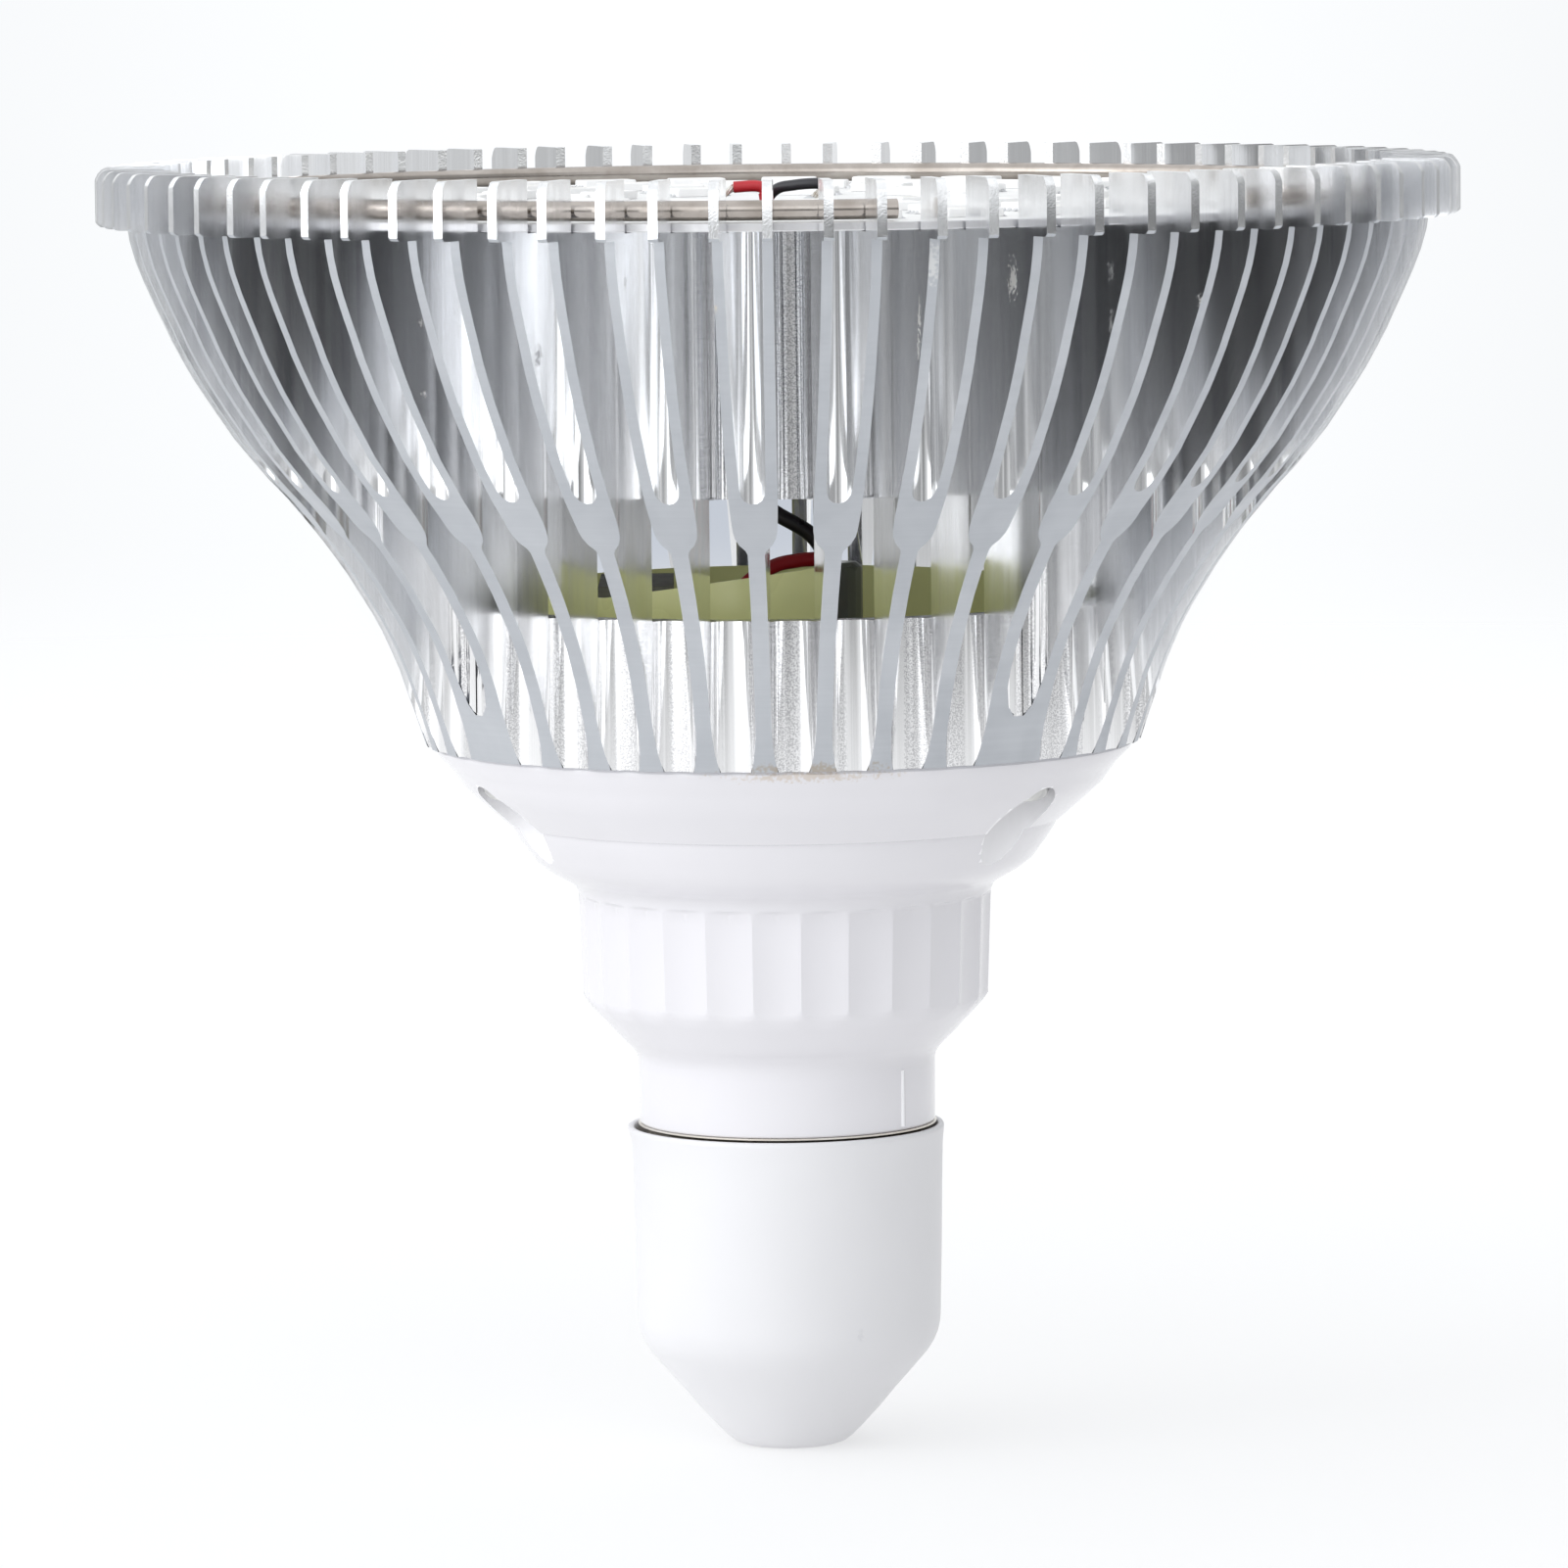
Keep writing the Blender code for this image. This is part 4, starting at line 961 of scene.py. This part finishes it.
def housing():
    segments = FLUTES * 16

    def shaped(r, az, z):
        # shallow scallops round the collar; they run out in the cone, which cuts their lower ends
        if -77.5 < z < -65.7 and r > 16.5:
            phase = ((az - FLUTE_PHASE) / 360.0 * FLUTES) % 1.0
            depth = 0.36 * (1.0 - (2.0 * phase - 1.0) ** 2)
            start = min(1.0, max(0.0, (-65.72 - z) / 0.30))
            limit = 18.64 - 0.34 * (-65.6 - z) / 9.4 - depth * start
            r = min(r, limit)
        return r, z

    collar = [(18.64, -65.75), (18.63, -65.85), (18.62, -65.95), (18.61, -66.1), (18.56, -68.0), (18.48, -70.0),
              (18.4, -72.0), (18.33, -74.2), (18.31, -74.6)]
    outside = list(HOUSING_OUT) + collar + list(CONE)
    dense = []
    for (r0, z0), (r1, z1) in zip(outside, outside[1:]):
        dense.append((r0, z0))
        if abs(z1 - z0) > 1.2 and z0 > -86:
            n = int(abs(z1 - z0) / 0.7)
            dense += [(r0 + (r1 - r0) * t / n, z0 + (z1 - z0) * t / n) for t in range(1, n)]
    dense.append(outside[-1])
    profile = dense + list(CAVITY)
    rows = turned_rows(profile, segments, shape=shaped)
    s = Soup()
    s.grid(rows + [rows[0]], 0, closed=True)
    shell = s.make("housing_shell", [WHITE], weld=1e-7, sharp=28)

    def cylinder(name, places, radius, z0, z1, segs=40):
        c = Soup()
        for az in places:
            cx, cy = polar(PORT_RADIUS, az)
            ring = [polar(radius, 360.0 * k / segs) for k in range(segs)]
            c.grid([[point(cx + x, cy + y, z0) for x, y in ring], [point(cx + x, cy + y, z1) for x, y in ring]], 0,
                   closed=True, ends=(True, True))
        o = c.make(name, [WHITE], body=None)
        return o

    def cut(target, tool, operation):
        mod = target.modifiers.new("cut", "BOOLEAN")
        mod.operation = operation
        mod.solver = "EXACT"
        mod.object = tool

    columns = cylinder("columns", PORT_AZIMUTHS, 4.5, -71.0, -52.17)
    # columns round the wells stand inside the bowl only
    limit = Soup()
    inner = [(0.001, -52.1), (28.0, -52.1), (28.0, -54.0), (25.0, -57.8), (21.2, -62.4), (17.4, -66.6), (17.0, -72.0),
             (0.001, -72.0)]
    rows = turned_rows(inner, 96)
    limit.grid(rows + [rows[0]], 0, closed=True)
    bound = limit.make("bound", [WHITE], weld=1e-7, body=None)
    cut(columns, bound, "INTERSECT")
    wells = cylinder("wells", PORT_AZIMUTHS, 3.3, -72.0, -54.0, 56)
    holes = cylinder("holes", PORT_AZIMUTHS, 1.7, -58.0, -50.0, 24)
    depsgraph = bpy.context.evaluated_depsgraph_get()
    for tool, operation in ((columns, "UNION"), (wells, "DIFFERENCE"), (holes, "DIFFERENCE")):
        cut(shell, tool, operation)
    depsgraph.update()
    mesh = bpy.data.meshes.new_from_object(shell.evaluated_get(depsgraph))
    shell.modifiers.clear()
    shell.data = mesh
    bm = bmesh.new()
    bm.from_mesh(mesh)
    bmesh.ops.dissolve_degenerate(bm, edges=bm.edges, dist=2e-6)
    bm.to_mesh(mesh)
    bm.free()
    mesh.materials.clear()
    mesh.materials.append(WHITE)
    mesh.materials.append(PAINTED_LIGHT_WHITE)
    index = np.zeros(len(mesh.polygons), np.int32)
    # the walls of the screw wells take the lighter white: painted light in place of the shade inside them
    for face in mesh.polygons:
        x, y, z = face.center
        if -0.009 < z - RIM_HEIGHT * MM + 0.0545 < 0.0005:
            for az in PORT_AZIMUTHS:
                cx, cy = polar(PORT_RADIUS, az)
                if math.hypot(x / MM - cx, y / MM - cy) < 3.36:
                    index[face.index] = 1
    mesh.polygons.foreach_set("material_index", index)
    mesh.shade_smooth()
    mesh.set_sharp_from_angle(angle=math.radians(28))
    for tool in (columns, bound, wells, holes):
        bpy.data.objects.remove(tool, do_unlink=True)
    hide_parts("housing")

    # parting line of the mould on the neck: the ridge takes the lighter white as a painted highlight, and a grey strip
    # at its right side is a painted shadow
    line = Soup()
    for az in (50.3, 230.3):
        rows = []
        for z in (-81.2, -81.6, -83.0, -84.5, -86.3):
            rows.append([point(*polar(13.36 + lift, az, shift), z)
                         for shift, lift in ((-0.20, 0.0), (-0.12, 0.20), (0.08, 0.22), (0.13, 0.0))])
        line.grid(rows, 0, closed=True, ends=(True, True))
        rows = []
        for z in (-81.3, -83.0, -84.5, -86.3):
            rows.append([point(*polar(13.40 + lift, az, shift), z)
                         for shift, lift in ((0.10, 0.0), (0.12, 0.05), (0.30, 0.04), (0.34, -0.02))])
        line.grid(rows, 1, closed=True, ends=(True, True))
    ridge = line.make("parting_line", [PAINTED_LIGHT_WHITE, PAINTED_SHADOW_GREY], sharp=25)
    return shell


# ---- screws ---------------------------------------------------------------------------------------------------------
def screws():
    for number, az in enumerate(PORT_AZIMUTHS, 1):
        cx, cy = polar(PORT_RADIUS, az)
        s = Soup()
        shank = [(0.02, -44.0), (0.55, -44.25), (0.95, -44.9)]
        rows = turned_rows(shank, 24, at=(cx, cy))
        threads = 26
        for k in range(threads * 4):
            z = -44.9 - (54.3 - 44.9) * k / (threads * 4 - 1)
            row = []
            for i in range(24):
                a = 360.0 * i / 24
                wave = (z / 0.72 - a / 360.0) % 1.0
                r = 0.98 + 0.27 * (1.0 - abs(wave - 0.5) * 2.0)
                x, y = polar(r, a)
                row.append(point(cx + x, cy + y, z))
            rows.append(row)
        rows += turned_rows([(1.25, -54.33), (2.72, -54.36), (2.8, -54.46), (2.8, -55.35), (2.68, -55.72), (2.35, -56.08),
                             (1.9, -56.28), (1.55, -56.35)], 24, at=(cx, cy))
        s.grid(rows, 0, closed=True, ends=(True, False))
        # cross recess: a plus-shaped floor sunk into the head
        n = 24
        rim = []
        sunk = []
        for i in range(n):
            a = 360.0 * i / n
            arm = abs(((a + 45.0) % 90.0) - 45.0)
            r = 1.35 if arm < 14.0 else 0.48
            x, y = polar(r, a)
            rim.append(point(cx + x, cy + y, -56.37))
            x, y = polar(r * 0.72, a)
            sunk.append(point(cx + x, cy + y, -55.35))
        s.grid([rows[-1], rim, sunk], [0, 1], closed=True, ends=(False, True))
        obj = s.make("screw_%d" % number, [ZINC, ZINC], weld=1e-7, sharp=28)
        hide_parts("housing_screw_%d" % number)


# ---- screw base -----------------------------------------------------------------------------------------------------
def screw_base():
    segments, rows_n = 96, 84
    top, bottom = -87.2, -103.6
    crest, root, pitch = 13.05, 12.15, 3.62
    mid, depth = (crest + root) / 2, (crest - root) / 2
    s = Soup()
    rows = turned_rows([(11.56, -86.72), (11.62, -86.67), (13.42, -86.66), (13.5, -86.70), (13.5, -86.82), (13.42, -86.88),
                        (12.95, -86.98), (12.72, -87.06), (12.62, -87.15)], segments)
    for k in range(rows_n):
        z = top + (bottom - top) * k / (rows_n - 1)
        fade = min(1.0, k / 12.0, (rows_n - 1 - k) / 12.0)
        row = []
        for i in range(segments):
            a = 2 * math.pi * i / segments
            wave = math.cos(2 * math.pi * z / pitch - a)
            x, y = polar(mid + depth * wave * fade, 360.0 * i / segments)
            row.append(point(x, y, z))
        rows.append(row)
    rows += turned_rows([(12.45, -104.0), (11.95, -104.6), (10.9, -105.4), (9.7, -105.93), (9.4, -106.0), (7.7, -106.0),
                         (7.6, -105.92), (7.6, -105.75), (9.3, -105.6), (11.5, -104.2), (11.55, -103.0),
                         (11.55, -86.8)], segments)
    s.grid(rows + [rows[0]], 0, closed=True)
    obj = s.make("screw_shell_thread", [NICKEL], weld=1e-7, sharp=35)
    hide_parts("screw_shell")

    s = Soup()
    profile = rounded([(1.6, -104.9), (7.2, -104.9), (7.2, -106.38), (9.15, -106.38), (8.7, -107.5), (6.1, -110.5),
                       (4.9, -110.88), (1.6, -110.88)], 0.35, 4)
    rows = turned_rows(profile, 72)
    s.grid(rows + [rows[0]], 0, closed=True)
    obj = s.make("base_insulator_glass", [GLASS], weld=1e-7, sharp=40)
    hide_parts("base_insulator")

    s = Soup()
    profile = rounded([(0.02, -111.2), (4.15, -111.2), (4.65, -111.6), (4.3, -112.35), (2.4, -112.75), (1.5, -112.82),
                       (1.2, -112.98), (0.02, -113.0)], 0.3, 4)
    rows = turned_rows(profile, 48)
    s.grid(rows, [0] * (len(rows) - 6) + [1] * 5, closed=True, ends=(True, True))
    obj = s.make("contact_button", [BRASS, SOLDER], weld=1e-7, sharp=35)
    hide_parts("centre_contact")


# ---- protective cap -------------------------------------------------------------------------------------------------
def base_cap():
    outer = [(13.86, -86.98), (14.0, -87.02), (14.1, -87.2), (14.1, -87.5), (14.02, -88.8), (13.95, -92.4),
             (13.85, -98.6), (13.72, -104.4), (13.66, -105.1), (13.45, -106.0), (13.1, -106.8), (12.6, -107.6),
             (11.15, -109.3), (9.6, -111.05), (8.2, -112.75), (6.6, -114.5), (5.7, -115.4), (5.15, -115.82),
             (4.5, -116.04), (4.0, -116.1), (0.02, -116.1)]
    inner = [(0.02, -115.3), (4.0, -115.3), (5.6, -114.2), (8.9, -110.6), (12.0, -107.0), (13.0, -105.6),
             (13.35, -104.4), (13.4, -98.6), (13.42, -92.5), (13.45, -87.5), (13.5, -87.1), (13.60, -87.0)]

    def shaped(r, az, z):
        # the mouth is a little out of round and flares at its lip
        f = max(0.0, 1.0 - (-87.0 - z) / 3.0)
        if r > 10 and f > 0:
            a = math.radians(az)
            r += 0.10 * f * f * (1.0 + math.cos(2 * a + 2.3)) * 0.5 + 0.34 * f ** 3 * max(0.0, math.cos(a + 1.45)) ** 6
        return r, z

    s = Soup()
    rows = turned_rows(outer + inner, 128, shape=shaped)
    s.grid(rows + [rows[0]], 0, closed=True)
    obj = s.make("protective_cap", [CAP], weld=1e-7, sharp=50, body="cap")
    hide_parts("base_cap")


retaining_ring()
led_board()
leads()
film_sheet()
housing()
screws()
screw_base()
base_cap()

# ---- driver parts keep their CAD shapes and take finer materials ----------------------------------------------------
FINISH = {"driver_board": LAMINATE, "transformer_core": FERRITE, "transformer_bobbin": TAPE,
          "bulk_capacitor": CAN_BLACK, "output_capacitor": CAN_GREEN, "film_capacitor": FILM_BOX,
          "bridge_rectifier": CHIP, "line_inductor": FERRITE, "driver_chip": CHIP, "fuse_resistor": RESISTOR}
for node_name, mat in FINISH.items():
    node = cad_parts[node_name]
    if node.hide_render:
        continue
    node.data.materials.clear()
    node.data.materials.append(mat)


# ---- stage ----------------------------------------------------------------------------------------------------------
FLOOR_Z = level(-116.1)
FLOOR_GLOW, FLOOR_TONE = 0.52, 0.44
# brightness of the studio by direction: degrees round from the front, positive towards +X
LOW_WALLS = ((-180.0, 1.07), (-150.0, 0.48), (-120.0, 0.64), (-90.0, 0.76), (-60.0, 0.95), (-45.0, 1.55),
             (-30.0, 2.50), (-20.0, 1.80), (-10.0, 0.62), (0.0, 0.44), (10.0, 0.16), (20.0, 0.18), (28.0, 0.64),
             (38.0, 0.22), (60.0, 0.17), (90.0, 0.30), (120.0, 0.44), (150.0, 0.44), (180.0, 1.07))
HIGH_WALLS = ((-180.0, 0.97), (-120.0, 1.45), (-60.0, 2.30), (0.0, 1.62), (60.0, 0.50), (120.0, 0.54), (180.0, 0.97))
CEILING = 1.12
TINT = (0.97, 0.985, 1.0)
SHADE, SHADE_SIZE, SHADE_HEIGHT = (0.56, 0.60, 0.67), (0.050, 0.030), -0.068
LIGHTS = (("softbox_left", (-0.95, -0.45, 0.30), (0.5, 0.6), 1.50),)


def stage():
    # pale paper that fades into the studio walls
    g = Graph("studio_floor")
    r, angle, z = g.radial()
    speck = g.noise(900.0, 2.0, 0.5)
    g.finish((FLOOR_TONE,) * 3, 0.9, 0.0, g.bump(speck, 0.00005, 0.2), Specular_IOR_Level=0.1,
             Emission_Color=(0.985, 0.99, 1.0, 1.0), Emission_Strength=FLOOR_GLOW)
    g.link(g.spread(r, 0.55, 1.25, 1.0, 0.0, smooth=True), g.shader.inputs["Alpha"])
    s = Soup()
    radius, steps = 1.3, 96
    ring = [(radius * math.cos(2 * math.pi * k / steps), radius * math.sin(2 * math.pi * k / steps), FLOOR_Z)
            for k in range(steps)]
    s.add(ring, 0)
    floor = s.make("studio_floor", [g.material], body=None)
    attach(floor, "cap")      # the lamp stands on its cap, so the paper stays under the cap when it is drawn off

    world = bpy.data.worlds.new("studio")
    bpy.context.scene.world = world
    world.use_nodes = True
    tree = world.node_tree

    def node(kind, **values):
        n = tree.nodes.new(kind)
        for key, value in values.items():
            setattr(n, key, value)
        return n

    def calc(operation, a, b=None):
        n = node("ShaderNodeMath", operation=operation)
        for socket, value in zip(n.inputs, (a, b)):
            if isinstance(value, bpy.types.NodeSocket):
                tree.links.new(value, socket)
            elif value is not None:
                socket.default_value = value
        return n.outputs[0]

    parts = node("ShaderNodeSeparateXYZ")
    tree.links.new(node("ShaderNodeTexCoord").outputs["Generated"], parts.inputs[0])
    turn = calc("ARCTAN2", parts.outputs[0], calc("MULTIPLY", parts.outputs[1], -1.0))
    turn = calc("ADD", calc("MULTIPLY", turn, 1.0 / (2 * math.pi)), 0.5)

    def ring(name, stops):
        ramp = node("ShaderNodeValToRGB", name=name)
        tree.links.new(turn, ramp.inputs[0])
        ramp.color_ramp.interpolation = "LINEAR"
        while len(ramp.color_ramp.elements) < len(stops):
            ramp.color_ramp.elements.new(0.5)
        for element, (degrees, value) in zip(ramp.color_ramp.elements, stops):
            element.position = (degrees + 180.0) / 360.0
            element.color = (value * TINT[0], value * TINT[1], value * TINT[2], 1.0)
        return ramp.outputs[0]

    def rise(low, high):
        n = node("ShaderNodeMapRange")
        tree.links.new(parts.outputs[2], n.inputs["Value"])
        n.inputs["From Min"].default_value, n.inputs["From Max"].default_value = low, high
        return n.outputs["Result"]

    def blend(name, factor, first, second):
        n = node("ShaderNodeMix", data_type="RGBA", name=name)
        tree.links.new(factor, n.inputs[0])
        tree.links.new(first, n.inputs[6])
        if isinstance(second, bpy.types.NodeSocket):
            tree.links.new(second, n.inputs[7])
        else:
            n.inputs[7].default_value = second
        return n.outputs[2]

    walls = blend("walls", rise(0.12, 0.32), ring("low", LOW_WALLS), ring("high", HIGH_WALLS))
    whole = blend("ceiling", rise(0.60, 0.80), walls, tuple(CEILING * t for t in TINT) + (1.0,))
    # the paper straight behind the hub lies in soft shade: half widths of the patch, then its middle
    across = calc("DIVIDE", parts.outputs[0], SHADE_SIZE[0])
    upright = calc("DIVIDE", calc("SUBTRACT", parts.outputs[2], SHADE_HEIGHT), SHADE_SIZE[1])
    away = calc("SQRT", calc("ADD", calc("MULTIPLY", across, across), calc("MULTIPLY", upright, upright)))
    patch = node("ShaderNodeMapRange", interpolation_type="SMOOTHSTEP")
    tree.links.new(away, patch.inputs["Value"])
    patch.inputs["From Min"].default_value, patch.inputs["From Max"].default_value = 0.6, 1.0
    patch.inputs["To Min"].default_value, patch.inputs["To Max"].default_value = 1.0, 0.0
    behind = calc("MULTIPLY", patch.outputs["Result"], calc("GREATER_THAN", parts.outputs[1], 0.0))
    whole = blend("shade", behind, whole, SHADE + (1.0,))
    tree.links.new(whole, tree.nodes["Background"].inputs["Color"])
    tree.nodes["Background"].inputs["Strength"].default_value = 1.0

    def softbox(name, place, aim, size, power, colour=(1.0, 1.0, 1.0)):
        data = bpy.data.lights.new(name, "AREA")
        data.shape = "RECTANGLE"
        data.size, data.size_y = size
        data.energy = power
        data.color = colour
        obj = bpy.data.objects.new(name, data)
        obj.location = place
        obj.rotation_euler = (Vector(aim) - Vector(place)).to_track_quat("-Z", "Y").to_euler()
        bpy.context.scene.collection.objects.link(obj)

    middle = (0.0, 0.0, 0.06)
    for name, place, size, power in LIGHTS:
        softbox(name, place, middle, size, power)
    # light has to find its way in and out between the fins
    bpy.context.scene.cycles.glossy_bounces = 8


def camera():
    data = bpy.data.cameras.new("camera")
    data.sensor_width = 36.0
    data.lens = 209.675
    data.clip_start, data.clip_end = 0.05, 60.0
    obj = bpy.data.objects.new("camera", data)
    bpy.context.scene.collection.objects.link(obj)
    turn = Matrix.Rotation(math.radians(90.0 - 5.4999), 4, "X") @ Matrix.Rotation(math.radians(-0.6074), 4, "Z")
    obj.matrix_world = Matrix.Translation((0.0, -0.82, level(22.763))) @ turn
    bpy.context.scene.camera = obj


stage()
camera()
bpy.context.scene.view_settings.view_transform = "Standard"
bpy.context.scene.view_settings.look = "None"

bpy.context.view_layer.update()
